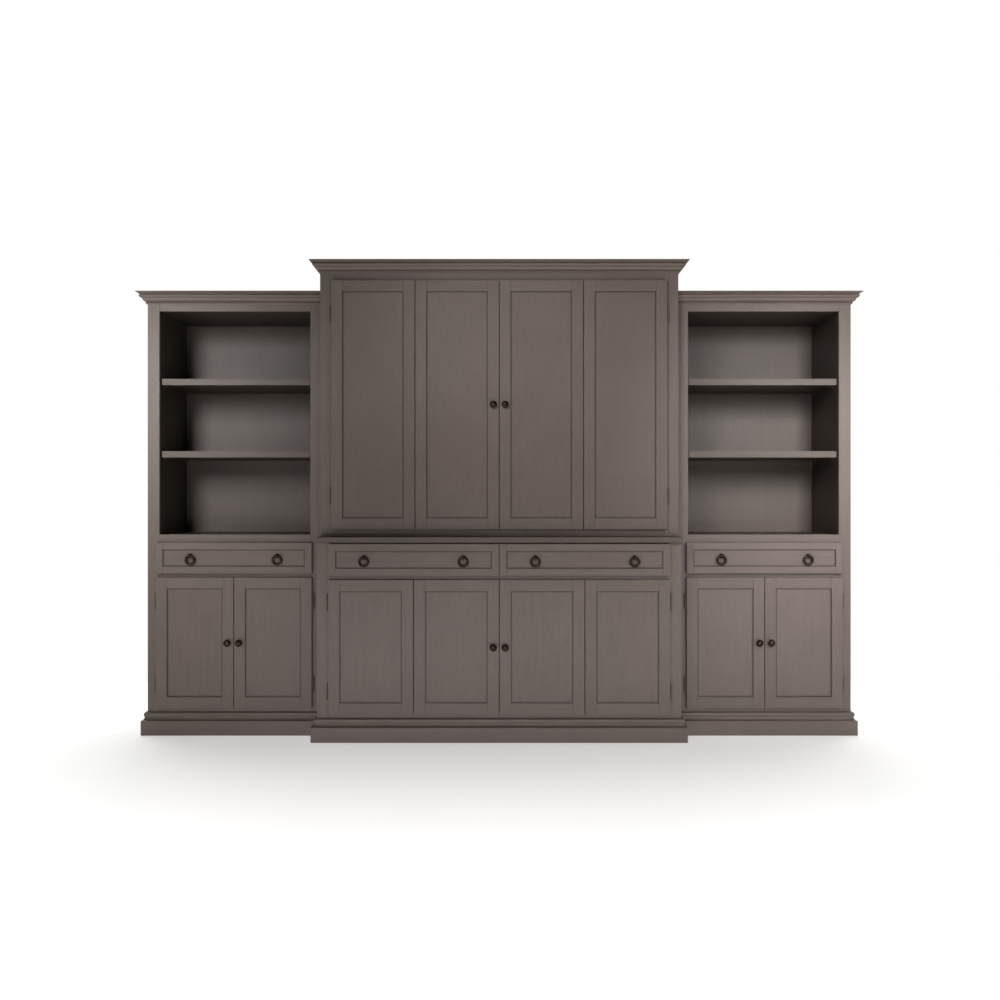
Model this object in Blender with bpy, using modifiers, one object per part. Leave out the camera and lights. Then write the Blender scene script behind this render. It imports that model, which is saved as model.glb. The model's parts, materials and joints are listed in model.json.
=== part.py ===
"""A wall unit for the living room: a base cabinet with a hutch on it, between two bookcases.

Metres, +Z up. The front faces -Y, the back is flat against the wall at +Y, and the floor is z = 0.
The origin is on the floor, in the middle of the overall width and depth.
"""
import math

import bmesh
import bpy
from mathutils import Matrix, Vector

# Clearances
FIT = 0.0003                # between two pieces that touch
UNIT_GAP = 0.001            # between the middle cabinets and each bookcase
DOOR_GAP = 0.002            # bumper gap behind a closed door or drawer front
LEAF_GAP = 0.003            # between two leaves or two drawer fronts side by side
SHELF_GAP = 0.005           # at each end of a loose shelf
RUNNER_GAP = 0.013          # at each side of a drawer box, for its slide

# Bodies
MIDDLE_WIDTH = 1.622
BASE_DEPTH = 0.595
HUTCH_SETBACK = 0.079       # from the front of the base to the front of the hutch
BOOKCASE_WIDTH = 0.800
BOOKCASE_DEPTH = 0.457
BACK_SPACE = 0.053          # from the bays' rear to the wall, for the back panel and a cable space

# Boards
BOARD = 0.019
BACK_BOARD = 0.006
BACK_LAP = 0.006            # how far a back panel reaches into each side
COUNTER_THICKNESS = 0.0255
COUNTER_OVERHANG = 0.028
SHELF_THICKNESS = 0.029
CUPBOARD_SHELF_THICKNESS = 0.019
SHELF_SETBACK = 0.020
CUPBOARD_SHELF_SETBACK = 0.060

# Plinths, from the floor up
PLINTH_BOARD_HEIGHT = 0.067
PLINTH_COVE_HEIGHT = 0.016
PLINTH_CAP_HEIGHT = 0.024
PLINTH_PROJECTION = 0.024
PLINTH_CAP_PROJECTION = 0.0134

# Fronts, from the plinth up
BOTTOM_RAIL = 0.028
CUPBOARD_HEIGHT = 0.576
DRAWER_RAIL = 0.039         # between the doors and the drawers
DRAWER_OPENING_HEIGHT = 0.120
COUNTER_RAIL = 0.016
HUTCH_BOTTOM_RAIL = 0.041
HUTCH_OPENING_HEIGHT = 1.103
HUTCH_FRIEZE = 0.045
BAY_RAIL = 0.047            # between a bookcase's drawer and its bays
BAY_HEIGHT = 1.023
BOOKCASE_FRIEZE = 0.031

# Shelf tops, from the floor of their space
LOWER_SHELF_RISE = 0.383
UPPER_SHELF_RISE = 0.716
CUPBOARD_SHELF_RISE = 0.295

# Face frames
MIDDLE_STILE = 0.0635
BOOKCASE_STILE = 0.054
DRAWER_MULLION = 0.038
OVERLAY = 0.010             # how far a door or drawer front laps its opening

# Crowns
CROWN_HEIGHT = 0.055
CROWN_PROJECTION = 0.044
CROWN_LID = 0.012
CROWN_LID_STEP = 0.0012     # from the top edge of a crown down to its lid

# Doors and drawer fronts
DOOR_THICKNESS = 0.019
DOOR_STILE = 0.050
DRAWER_STILE = 0.031
PANEL_RECESS = 0.006

# Hinges
BARREL_RADIUS = 0.004
BARREL_LENGTH = 0.066
BARREL_CLEARANCE = 0.0015   # from a barrel to the edge of its door
HINGE_PLATE = 0.002
SEAM_AXIS_SETBACK = 0.0032  # seam hinge axis, behind the back face of the leaves
HUTCH_HINGE_INSET = 0.150   # from the end of a door to the middle of a barrel
BASE_HINGE_INSET = 0.100
BOOKCASE_HINGE_INSET = 0.108

# Drawer boxes
DRAWER_WALL = 0.012
DRAWER_FLOOR = 0.009
DRAWER_BOX_CLEARANCE = 0.006
BASE_DRAWER_REAR_GAP = 0.109
BOOKCASE_DRAWER_REAR_GAP = 0.034
RUNNER_RAIL_HEIGHT = 0.040

# Knobs and ring pulls
KNOB_LENGTH = 0.028
KNOB_RADIUS = 0.016
KNOB_EDGE = 0.025           # from the free edge of a door to the middle of its knob
RING_RADIUS = 0.020
RING_WIRE = 0.0045
RING_END_DISTANCE = 0.158   # from the end of a drawer front to the middle of its ring
EYE_CLEARANCE = 0.002       # round the ring's wire, which curves inside its post
EYE_WALL = 0.003
EYE_STANDOFF = 0.014        # from the drawer panel to the ring's hinge axis
STEM_RADIUS = 0.006
ROSETTE_RADIUS = 0.011
ROSETTE_THICKNESS = 0.002

# Cable cut-outs in the back panels of the middle cabinets
CABLE_HOLE_RADIUS = 0.030
CABLE_HOLE_INSET = 0.160    # from the edge of an opening to the middle of a cut-out

# Worked out from the sizes above
HALF_MIDDLE = MIDDLE_WIDTH / 2
OVERALL_DEPTH = BASE_DEPTH + DOOR_GAP + DOOR_THICKNESS + FIT + KNOB_LENGTH
BACK_Y = OVERALL_DEPTH / 2
BASE_FACE = BACK_Y - BASE_DEPTH
HUTCH_FACE = BASE_FACE + HUTCH_SETBACK
BOOKCASE_FACE = BACK_Y - BOOKCASE_DEPTH
BOOKCASE_INNER = HALF_MIDDLE + UNIT_GAP
BOOKCASE_OUTER = BOOKCASE_INNER + BOOKCASE_WIDTH
BOOKCASE_MIDDLE = (BOOKCASE_INNER + BOOKCASE_OUTER) / 2
BAY_DEPTH = BOOKCASE_DEPTH - BACK_SPACE
PLINTH_CAP_BOTTOM = PLINTH_BOARD_HEIGHT + PLINTH_COVE_HEIGHT
PLINTH_HEIGHT = PLINTH_CAP_BOTTOM + PLINTH_CAP_HEIGHT
CUPBOARD_BOTTOM = PLINTH_HEIGHT + BOTTOM_RAIL
CUPBOARD_TOP = CUPBOARD_BOTTOM + CUPBOARD_HEIGHT
DRAWER_BOTTOM = CUPBOARD_TOP + DRAWER_RAIL
DRAWER_TOP = DRAWER_BOTTOM + DRAWER_OPENING_HEIGHT
COUNTER_BOTTOM = DRAWER_TOP + COUNTER_RAIL
COUNTER_TOP = COUNTER_BOTTOM + COUNTER_THICKNESS
HUTCH_BOTTOM = COUNTER_TOP + FIT
HUTCH_OPENING_BOTTOM = HUTCH_BOTTOM + HUTCH_BOTTOM_RAIL
HUTCH_OPENING_TOP = HUTCH_OPENING_BOTTOM + HUTCH_OPENING_HEIGHT
HUTCH_CROWN_BOTTOM = HUTCH_OPENING_TOP + HUTCH_FRIEZE
BAY_FLOOR = DRAWER_TOP + BAY_RAIL
BAY_TOP = BAY_FLOOR + BAY_HEIGHT
BOOKCASE_CROWN_BOTTOM = BAY_TOP + BOOKCASE_FRIEZE
LOWER_SHELF_TOP = BAY_FLOOR + LOWER_SHELF_RISE
UPPER_SHELF_TOP = BAY_FLOOR + UPPER_SHELF_RISE
CUPBOARD_SHELF_TOP = CUPBOARD_BOTTOM + CUPBOARD_SHELF_RISE
CASE_UNDER_CROWN = CROWN_HEIGHT - CROWN_LID - CROWN_LID_STEP - FIT
MIDDLE_OPENING = HALF_MIDDLE - MIDDLE_STILE
BOOKCASE_OPENING = BOOKCASE_WIDTH / 2 - BOOKCASE_STILE
HINGE_OFFSET = BARREL_RADIUS + BARREL_CLEARANCE
HINGE_FORWARD = DOOR_GAP + DOOR_THICKNESS / 2
WEB_TOP = (CUPBOARD_TOP + DRAWER_BOTTOM + BOARD) / 2
WEB_BOTTOM = WEB_TOP - BOARD
SUB_TOP = (DRAWER_TOP + COUNTER_BOTTOM) / 2
BASE_DRAWER_LENGTH = BASE_DEPTH - BASE_DRAWER_REAR_GAP
BOOKCASE_DRAWER_LENGTH = BAY_DEPTH - BOOKCASE_DRAWER_REAR_GAP
EYE_BORE = RING_WIRE + EYE_CLEARANCE
EYE_RADIUS = EYE_BORE + EYE_WALL
PAST = 0.02                 # how far a cutter runs past the surface that it cuts

SIDES = (("left", -1), ("right", 1))


# Scene, collections and materials

def clear_scene():
    for item in list(bpy.data.objects):
        bpy.data.objects.remove(item, do_unlink=True)


def new_collection(name):
    collection = bpy.data.collections.new(name)
    bpy.context.scene.collection.children.link(collection)
    return collection


def new_material(name, colour, roughness, metallic):
    material = bpy.data.materials.new(name)
    material.use_nodes = True
    shader = material.node_tree.nodes["Principled BSDF"]
    shader.inputs["Base Color"].default_value = (*colour, 1.0)
    shader.inputs["Roughness"].default_value = roughness
    shader.inputs["Metallic"].default_value = metallic
    return material


def painted_wood(name):
    return new_material(name + "_paint", (0.155, 0.130, 0.116), 0.55, 0.0)


def bare_wood(name):
    return new_material(name + "_wood", (0.42, 0.31, 0.20), 0.60, 0.0)


def dark_bronze(name):
    return new_material(name + "_bronze", (0.040, 0.027, 0.020), 0.40, 0.9)


# Basic shapes

def add_object(name, mesh, collection, place=(0, 0, 0), parent=None):
    item = bpy.data.objects.new(name, mesh)
    item.location = place
    item.parent = parent
    collection.objects.link(item)
    return item


def add_pivot(name, axis_point, parent=None):
    """An empty on a joint's axis. Its children are placed from it."""
    pivot = bpy.data.objects.new(name, None)
    pivot.empty_display_size = 0.03
    pivot.location = Vector(axis_point)
    if parent:
        pivot.location -= world_place(parent)
    pivot.parent = parent
    PARTS.objects.link(pivot)
    return pivot


def world_place(pivot):
    """Where a pivot is, through the pivots above it, none of which is turned."""
    place = Vector(pivot.location)
    while pivot.parent:
        pivot = pivot.parent
        place += pivot.location
    return place


def box_mesh(name, low, high):
    """A box between two corners, given in any order."""
    corners = [sorted(pair) for pair in zip(low, high)]
    size = [end - start for start, end in corners]
    middle = [(end + start) / 2 for start, end in corners]
    shape = bmesh.new()
    bmesh.ops.create_cube(shape, size=1.0)
    bmesh.ops.scale(shape, vec=size, verts=shape.verts)
    bmesh.ops.translate(shape, vec=middle, verts=shape.verts)
    return finished_mesh(name, shape)


def finished_mesh(name, shape):
    mesh = bpy.data.meshes.new(name)
    shape.to_mesh(mesh)
    shape.free()
    return mesh


def add_board(name, low, high, material, pivot=None):
    """A box-shaped piece between two corners in world coordinates."""
    origin = world_place(pivot) if pivot else Vector()
    mesh = box_mesh(name, Vector(low) - origin, Vector(high) - origin)
    mesh.materials.append(material)
    return add_object(name, mesh, PARTS, parent=pivot)


def add_tool(name, mesh, place=(0, 0, 0)):
    """A shape that cuts or is joined to a piece, and isn't a piece itself."""
    tool = add_object(name, mesh, CUTTERS, place)
    tool.hide_render = True
    tool.display_type = "WIRE"
    return tool


def box_tool(name, low, high):
    return add_tool(name, box_mesh(name, low, high))


def cylinder_tool(name, centre, radius, length, axis, sides=16):
    """A cylinder centred on a point, along X, Y or Z."""
    turns = {"X": Matrix.Rotation(math.pi / 2, 3, "Y"), "Y": Matrix.Rotation(math.pi / 2, 3, "X"),
             "Z": Matrix.Identity(3)}
    shape = bmesh.new()
    bmesh.ops.create_cone(shape, cap_ends=True, segments=sides, radius1=radius, radius2=radius, depth=length)
    bmesh.ops.rotate(shape, matrix=turns[axis], verts=shape.verts)
    bmesh.ops.translate(shape, vec=centre, verts=shape.verts)
    return add_tool(name, finished_mesh(name, shape))


def ball_tool(name, centre, radius):
    shape = bmesh.new()
    bmesh.ops.create_uvsphere(shape, u_segments=16, v_segments=10, radius=radius)
    bmesh.ops.rotate(shape, matrix=Matrix.Rotation(math.pi / 2, 3, "X"), verts=shape.verts)
    bmesh.ops.translate(shape, vec=centre, verts=shape.verts)
    return add_tool(name, finished_mesh(name, shape))


def combine(piece, tool, operation):
    step = piece.modifiers.new(tool.name, "BOOLEAN")
    step.operation = operation
    step.solver = "EXACT"
    step.object = tool


def cut_box(piece, label, low, high):
    combine(piece, box_tool(piece.name + "_" + label, low, high), "DIFFERENCE")


def join_box(piece, label, low, high):
    combine(piece, box_tool(piece.name + "_" + label, low, high), "UNION")


# Mouldings. An outline is (distance out from the body, height), from the bottom up.

def arc(centre, radius, start, end, steps):
    """Points on a circle between two angles in degrees, both ends included."""
    points = []
    for step in range(steps + 1):
        angle = math.radians(start + (end - start) * step / steps)
        points.append((centre[0] + radius * math.cos(angle), centre[1] + radius * math.sin(angle)))
    return points


def crown_outline():
    """A bead, a round shoulder, a flare and a fascia that leans out, from the bottom up."""
    bead = 0.003
    bead_out = 0.0035
    shoulder_start = (0.0075, 0.0065)
    shoulder_end = (0.0185, 0.018)
    flare_start = (0.0215, 0.029)
    flare_end = (0.029, 0.0375)
    fascia_lean = 0.0055
    fascia_start = (CROWN_PROJECTION - fascia_lean, 0.0415)
    quirk = (fascia_start[0] - 0.001, 0.040)
    points = [(bead_out, 0.0)]
    points += arc((bead_out, bead), bead, -90, 90, 4)[1:]
    for step in range(5):
        angle = math.radians(90 * step / 4)
        out = shoulder_start[0] + (shoulder_end[0] - shoulder_start[0]) * math.sin(angle)
        up = shoulder_start[1] + (shoulder_end[1] - shoulder_start[1]) * (1 - math.cos(angle))
        points.append((out, up))
    for step in range(5):
        angle = math.radians(80 * step / 4)
        out = flare_start[0] + (flare_end[0] - flare_start[0]) * (1 - math.cos(angle))
        up = flare_start[1] + (flare_end[1] - flare_start[1]) * math.sin(angle)
        points.append((out, up))
    points.append(quirk)
    points.append(fascia_start)
    points.append((CROWN_PROJECTION, CROWN_HEIGHT))
    return points


def plinth_outline():
    """A flat board with an eased top edge, a cove that slopes back, and a round-nosed cap."""
    ease = 0.002
    nose_reach = 0.0035
    nose_middle = (PLINTH_CAP_PROJECTION - nose_reach, PLINTH_CAP_BOTTOM + 0.010)
    cove_foot = (PLINTH_PROJECTION - ease, PLINTH_BOARD_HEIGHT)
    cove_head = (PLINTH_CAP_PROJECTION - nose_reach, PLINTH_CAP_BOTTOM - 0.001)
    cap_head = 0.003
    points = [(PLINTH_PROJECTION, 0.0)]
    points += arc((PLINTH_PROJECTION - ease, PLINTH_BOARD_HEIGHT - ease), ease, 0, 70, 2)
    for step in range(6):
        share = step / 5
        sag = 0.002 * math.sin(math.pi * share)
        out = cove_foot[0] + (cove_head[0] - cove_foot[0]) * share - sag
        up = cove_foot[1] + (cove_head[1] - cove_foot[1]) * share - sag
        points.append((out, up))
    for step in range(7):
        angle = math.radians(-85 + 150 * step / 6)
        out = nose_middle[0] + nose_reach * math.cos(angle)
        points.append((out, nose_middle[1] + 0.009 * math.sin(angle)))
    points.append((cap_head, PLINTH_HEIGHT))
    return points


def swept_mesh(name, outline, bottom, stations):
    """An outline carried from station to station, so that it is mitred where the path turns.

    A station is (x, y of the body's edge, the way out from it). At a corner the way out is diagonal.
    """
    inner = [(FIT, outline[-1][1]), (FIT, outline[0][1])]
    shape = bmesh.new()
    place = shape.verts.layers.int.new("place_in_outline")
    points = outline + inner
    corners = []
    for index, point in enumerate(points):
        corner = shape.verts.new(at_station(stations[0], point, bottom))
        corner[place] = index
        corners.append(corner)
    first_face = shape.faces.new(corners)
    end_face = first_face
    for station in stations[1:]:
        grown = bmesh.ops.extrude_face_region(shape, geom=[end_face])["geom"]
        if end_face != first_face:
            bmesh.ops.delete(shape, geom=[end_face], context="FACES_ONLY")
        for item in grown:
            if isinstance(item, bmesh.types.BMFace):
                end_face = item
            elif isinstance(item, bmesh.types.BMVert):
                item.co = at_station(station, points[item[place]], bottom)
    bmesh.ops.recalc_face_normals(shape, faces=shape.faces)
    return finished_mesh(name, shape)


def at_station(station, point, bottom):
    (x, y), (way_x, way_y) = station
    out, up = point
    return Vector((x + way_x * out, y + way_y * out, bottom + up))


def add_moulding(name, outline, bottom, stations):
    mesh = swept_mesh(name, outline, bottom, stations)
    mesh.materials.append(painted_wood(name))
    return add_object(name, mesh, PARTS)


def join_crown_lid(crown, bottom, low_x, high_x, face):
    """A thin board that closes the top, let into the moulding just under its top edge."""
    top = bottom + CROWN_HEIGHT - CROWN_LID_STEP
    join_box(crown, "lid", (low_x, face - CROWN_PROJECTION / 4, top - CROWN_LID),
             (high_x, BACK_Y - CROWN_LID_STEP, top))


# Static pieces of the middle cabinets

def make_base_carcass():
    """Sides, bottom, drawer web, partition and face frame, glued into one case."""
    wall = HALF_MIDDLE - BOARD
    rear = BACK_Y - BACK_BOARD - FIT
    inside = BASE_FACE + BOARD
    partition_front = inside + CUPBOARD_SHELF_SETBACK / 2
    case = add_board("base_carcass", (-HALF_MIDDLE, BASE_FACE, 0), (HALF_MIDDLE, BACK_Y, COUNTER_BOTTOM),
                     painted_wood("base_carcass"))
    cut_box(case, "toe_space", (-wall, inside, -PAST), (wall, rear - BOARD, CUPBOARD_BOTTOM - BOARD))
    for side, sign in SIDES:
        cut_box(case, side + "_cupboard", (sign * BOARD / 2, inside, CUPBOARD_BOTTOM),
                (sign * wall, BACK_Y + PAST, WEB_BOTTOM))
        cut_box(case, side + "_drawer_space", (sign * BOARD / 2, inside, WEB_TOP),
                (sign * wall, BACK_Y + PAST, SUB_TOP))
        cut_box(case, side + "_drawer_opening", (sign * DRAWER_MULLION / 2, BASE_FACE - PAST, DRAWER_BOTTOM),
                (sign * MIDDLE_OPENING, inside + BOARD, DRAWER_TOP))
    cut_box(case, "door_opening", (-MIDDLE_OPENING, BASE_FACE - PAST, CUPBOARD_BOTTOM),
            (MIDDLE_OPENING, partition_front, CUPBOARD_TOP))
    cut_box(case, "back_rabbet", (-wall - BACK_LAP, rear, CUPBOARD_BOTTOM - BACK_LAP),
            (wall + BACK_LAP, BACK_Y + PAST, SUB_TOP + BACK_LAP))
    rail_bottom = (DRAWER_BOTTOM + DRAWER_TOP - RUNNER_RAIL_HEIGHT) / 2
    rail_top = rail_bottom + RUNNER_RAIL_HEIGHT
    for side, sign in SIDES:
        join_box(case, side + "_outer_rail", (sign * MIDDLE_OPENING, inside - BOARD / 4, rail_bottom),
                 (sign * (wall + BOARD / 4), rear - BOARD, rail_top))
        join_box(case, side + "_inner_rail", (0, inside - BOARD / 4, rail_bottom),
                 (sign * DRAWER_MULLION / 2, rear - BOARD, rail_top))
    return case


def make_base_back():
    wall = HALF_MIDDLE - BOARD
    edge = wall + BACK_LAP - FIT
    low = (-edge, BACK_Y - BACK_BOARD, CUPBOARD_BOTTOM - BACK_LAP + FIT)
    high = (edge, BACK_Y, SUB_TOP + BACK_LAP - FIT)
    panel = add_board("base_back_panel", low, high, painted_wood("base_back_panel"))
    for side, sign in SIDES:
        centre = (sign * CABLE_HOLE_INSET, BACK_Y, (CUPBOARD_SHELF_TOP + WEB_BOTTOM) / 2)
        hole = cylinder_tool(panel.name + "_" + side + "_cable_hole", centre, CABLE_HOLE_RADIUS,
                             2 * BACK_BOARD + PAST, "Y", 24)
        combine(panel, hole, "DIFFERENCE")


def make_base_shelves():
    front = BASE_FACE + BOARD + CUPBOARD_SHELF_SETBACK
    rear = BACK_Y - BACK_BOARD - 2 * FIT - SHELF_GAP
    bottom = CUPBOARD_SHELF_TOP - CUPBOARD_SHELF_THICKNESS
    inner = BOARD / 2 + SHELF_GAP / 2
    outer = HALF_MIDDLE - BOARD - SHELF_GAP / 2
    for side, sign in SIDES:
        name = "base_shelf_" + side
        low = (sign * inner, front, bottom)
        high = (sign * outer, rear, CUPBOARD_SHELF_TOP)
        add_board(name, low, high, painted_wood(name))


def make_counter_top():
    low = (-HALF_MIDDLE, BASE_FACE - COUNTER_OVERHANG, COUNTER_BOTTOM + FIT)
    high = (HALF_MIDDLE, BACK_Y, COUNTER_TOP)
    top = add_board("base_counter_top", low, high, painted_wood("base_counter_top"))
    ease = top.modifiers.new("eased_edges", "BEVEL")
    ease.width = 0.0025
    ease.segments = 2


def make_base_plinth():
    """Front and side boards. The side boards end at the bookcases' plinths."""
    rear = BOOKCASE_FACE - PLINTH_PROJECTION - FIT
    stations = (((-HALF_MIDDLE, rear), (-1, 0)), ((-HALF_MIDDLE, BASE_FACE), (-1, -1)),
                ((HALF_MIDDLE, BASE_FACE), (1, -1)), ((HALF_MIDDLE, rear), (1, 0)))
    add_moulding("base_plinth", plinth_outline(), 0.0, stations)


def make_hutch_carcass():
    """Sides, bottom and top round one wide, clear compartment. Its face frame is a node of its own."""
    wall = HALF_MIDDLE - BOARD
    inside = HUTCH_FACE + BOARD
    rear = BACK_Y - BACK_BOARD - FIT
    top = HUTCH_CROWN_BOTTOM + CASE_UNDER_CROWN
    floor = HUTCH_BOTTOM + BOARD
    ceiling = HUTCH_OPENING_TOP + BOARD
    case = add_board("hutch_carcass", (-HALF_MIDDLE, inside + FIT, HUTCH_BOTTOM), (HALF_MIDDLE, BACK_Y, top),
                     painted_wood("hutch_carcass"))
    cut_box(case, "compartment", (-wall, inside - PAST, floor), (wall, BACK_Y + PAST, ceiling))
    cut_box(case, "back_rabbet", (-wall - BACK_LAP, rear, floor - BACK_LAP),
            (wall + BACK_LAP, BACK_Y + PAST, ceiling + BACK_LAP))
    cut_box(case, "top_space", (-wall, inside - PAST, ceiling + BOARD), (wall, rear - BOARD, top + PAST))


def make_hutch_face_frame():
    """Two stiles, a bottom rail and a frieze, in front of the hutch's boards."""
    top = HUTCH_CROWN_BOTTOM + CASE_UNDER_CROWN
    back = HUTCH_FACE + BOARD
    frame = add_board("hutch_face_frame", (-HALF_MIDDLE, HUTCH_FACE, HUTCH_BOTTOM), (HALF_MIDDLE, back, top),
                      painted_wood("hutch_face_frame"))
    cut_box(frame, "opening", (-MIDDLE_OPENING, HUTCH_FACE - PAST, HUTCH_OPENING_BOTTOM),
            (MIDDLE_OPENING, back + PAST, HUTCH_OPENING_TOP))


def make_hutch_back():
    edge = HALF_MIDDLE - BOARD + BACK_LAP - FIT
    bottom = HUTCH_BOTTOM + BOARD - BACK_LAP + FIT
    top = HUTCH_OPENING_TOP + BOARD + BACK_LAP - FIT
    panel = add_board("hutch_back_panel", (-edge, BACK_Y - BACK_BOARD, bottom), (edge, BACK_Y, top),
                      painted_wood("hutch_back_panel"))
    for side, sign in SIDES:
        centre = (sign * CABLE_HOLE_INSET, BACK_Y, HUTCH_OPENING_BOTTOM + CABLE_HOLE_INSET)
        hole = cylinder_tool(panel.name + "_" + side + "_cable_hole", centre, CABLE_HOLE_RADIUS,
                             2 * BACK_BOARD + PAST, "Y", 24)
        combine(panel, hole, "DIFFERENCE")


def make_hutch_crown():
    stations = (((-HALF_MIDDLE, BACK_Y), (-1, 0)), ((-HALF_MIDDLE, HUTCH_FACE), (-1, -1)),
                ((HALF_MIDDLE, HUTCH_FACE), (1, -1)), ((HALF_MIDDLE, BACK_Y), (1, 0)))
    crown = add_moulding("hutch_crown", crown_outline(), HUTCH_CROWN_BOTTOM, stations)
    lid_edge = HALF_MIDDLE + CROWN_PROJECTION / 4
    join_crown_lid(crown, HUTCH_CROWN_BOTTOM, -lid_edge, lid_edge, HUTCH_FACE)


# Static pieces of one bookcase

def bookcase_span(sign, from_middle):
    """The two x values at a distance from the bookcase's own middle."""
    middle = sign * BOOKCASE_MIDDLE
    return middle - from_middle, middle + from_middle


def make_bookcase_carcass(side, sign):
    """A tall case: bays flush with the face frame, and a wider drawer and cupboard space below."""
    name = side + "_bookcase_carcass"
    top = BOOKCASE_CROWN_BOTTOM + CASE_UNDER_CROWN
    inside = BOOKCASE_FACE + BOARD
    rear = BOOKCASE_FACE + BAY_DEPTH
    case_low, case_high = bookcase_span(sign, BOOKCASE_WIDTH / 2)
    wall_low, wall_high = bookcase_span(sign, BOOKCASE_WIDTH / 2 - BOARD)
    bay_low, bay_high = bookcase_span(sign, BOOKCASE_OPENING)
    case = add_board(name, (case_low, BOOKCASE_FACE, 0), (case_high, BACK_Y, top), painted_wood(name))
    cut_box(case, "toe_space", (wall_low, inside, -PAST), (wall_high, rear - BOARD, CUPBOARD_BOTTOM - BOARD))
    cut_box(case, "cupboard", (wall_low, inside, CUPBOARD_BOTTOM), (wall_high, rear + PAST, WEB_BOTTOM))
    cut_box(case, "door_opening", (bay_low, BOOKCASE_FACE - PAST, CUPBOARD_BOTTOM),
            (bay_high, inside + BOARD, CUPBOARD_TOP))
    cut_box(case, "drawer_space", (wall_low, inside, WEB_TOP), (wall_high, rear + PAST, BAY_FLOOR - BOARD))
    cut_box(case, "drawer_opening", (bay_low, BOOKCASE_FACE - PAST, DRAWER_BOTTOM),
            (bay_high, inside + BOARD, DRAWER_TOP))
    cut_box(case, "bays", (bay_low, BOOKCASE_FACE - PAST, BAY_FLOOR), (bay_high, rear + PAST, BAY_TOP))
    cut_box(case, "back_rabbet", (wall_low - BACK_LAP, rear, CUPBOARD_BOTTOM - BACK_LAP),
            (wall_high + BACK_LAP, BACK_Y + PAST, BAY_TOP + BACK_LAP))
    rail_bottom = (DRAWER_BOTTOM + DRAWER_TOP - RUNNER_RAIL_HEIGHT) / 2
    rail_top = rail_bottom + RUNNER_RAIL_HEIGHT
    for label, opening_edge, wall in (("low_rail", bay_low, wall_low), ("high_rail", bay_high, wall_high)):
        into_wall = math.copysign(BOARD / 4, wall - opening_edge)
        rail_low = (opening_edge, inside - BOARD / 4, rail_bottom)
        rail_high = (wall + into_wall, rear - BOARD, rail_top)
        join_box(case, label, rail_low, rail_high)


def make_bookcase_back(side, sign):
    name = side + "_bookcase_back_panel"
    low, high = bookcase_span(sign, BOOKCASE_WIDTH / 2 - BOARD + BACK_LAP - FIT)
    front = BOOKCASE_FACE + BAY_DEPTH + FIT
    add_board(name, (low, front, CUPBOARD_BOTTOM - BACK_LAP + FIT),
              (high, front + BACK_BOARD, BAY_TOP + BACK_LAP - FIT), painted_wood(name))


def make_bookcase_shelves(side, sign):
    low, high = bookcase_span(sign, BOOKCASE_OPENING - SHELF_GAP)
    front = BOOKCASE_FACE + SHELF_SETBACK
    rear = BOOKCASE_FACE + BAY_DEPTH - SHELF_GAP
    for label, top in (("upper", UPPER_SHELF_TOP), ("lower", LOWER_SHELF_TOP)):
        name = side + "_bookcase_" + label + "_shelf"
        add_board(name, (low, front, top - SHELF_THICKNESS), (high, rear, top), painted_wood(name))
    name = side + "_bookcase_cupboard_shelf"
    low, high = bookcase_span(sign, BOOKCASE_WIDTH / 2 - BOARD - SHELF_GAP / 2)
    front = BOOKCASE_FACE + BOARD + CUPBOARD_SHELF_SETBACK
    add_board(name, (low, front, CUPBOARD_SHELF_TOP - CUPBOARD_SHELF_THICKNESS),
              (high, rear, CUPBOARD_SHELF_TOP), painted_wood(name))


def bookcase_stations(sign):
    """Round the outer side and along the front, to a plain end against the middle cabinets."""
    outer = sign * BOOKCASE_OUTER
    inner = sign * BOOKCASE_INNER
    return (((outer, BACK_Y), (sign, 0)), ((outer, BOOKCASE_FACE), (sign, -1)),
            ((inner, BOOKCASE_FACE), (0, -1)))


def make_bookcase_crown(side, sign):
    name = side + "_bookcase_crown"
    crown = add_moulding(name, crown_outline(), BOOKCASE_CROWN_BOTTOM, bookcase_stations(sign))
    inner = sign * (BOOKCASE_INNER + CROWN_LID_STEP)
    outer = sign * (BOOKCASE_OUTER + CROWN_PROJECTION / 4)
    join_crown_lid(crown, BOOKCASE_CROWN_BOTTOM, inner, outer, BOOKCASE_FACE)


def make_bookcase_plinth(side, sign):
    add_moulding(side + "_bookcase_plinth", plinth_outline(), 0.0, bookcase_stations(sign))


# Doors

def add_framed_board(name, low, high, stile, pivot):
    """A frame-and-panel board, its panel set back from both faces."""
    piece = add_board(name, low, high, painted_wood(name), pivot)
    left, front, bottom = (min(pair) for pair in zip(low, high))
    right, back, top = (max(pair) for pair in zip(low, high))
    cut_box(piece, "front_recess", (left + stile, front - PAST, bottom + stile),
            (right - stile, front + PANEL_RECESS, top - stile))
    cut_box(piece, "back_recess", (left + stile, back - PANEL_RECESS, bottom + stile),
            (right - stile, back + PAST, top - stile))
    return piece


def join_hinge_barrels(leaf, axis_x, axis_y, edge_x, bottom, top, inset):
    """Two round barrels on the hinge axis, each with a plate let into the door's edge."""
    into_door = math.copysign(BARREL_RADIUS, edge_x - axis_x)
    for label, height in (("lower", bottom + inset), ("upper", top - inset)):
        plate_low = (axis_x, axis_y - HINGE_PLATE / 2, height - BARREL_LENGTH * 0.4)
        plate_high = (edge_x + into_door, axis_y + HINGE_PLATE / 2, height + BARREL_LENGTH * 0.4)
        join_box(leaf, label + "_hinge_plate", plate_low, plate_high)
        barrel = cylinder_tool(leaf.name + "_" + label + "_barrel", (axis_x, axis_y, height), BARREL_RADIUS,
                               BARREL_LENGTH, "Z", 12)
        combine(leaf, barrel, "UNION")


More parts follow.
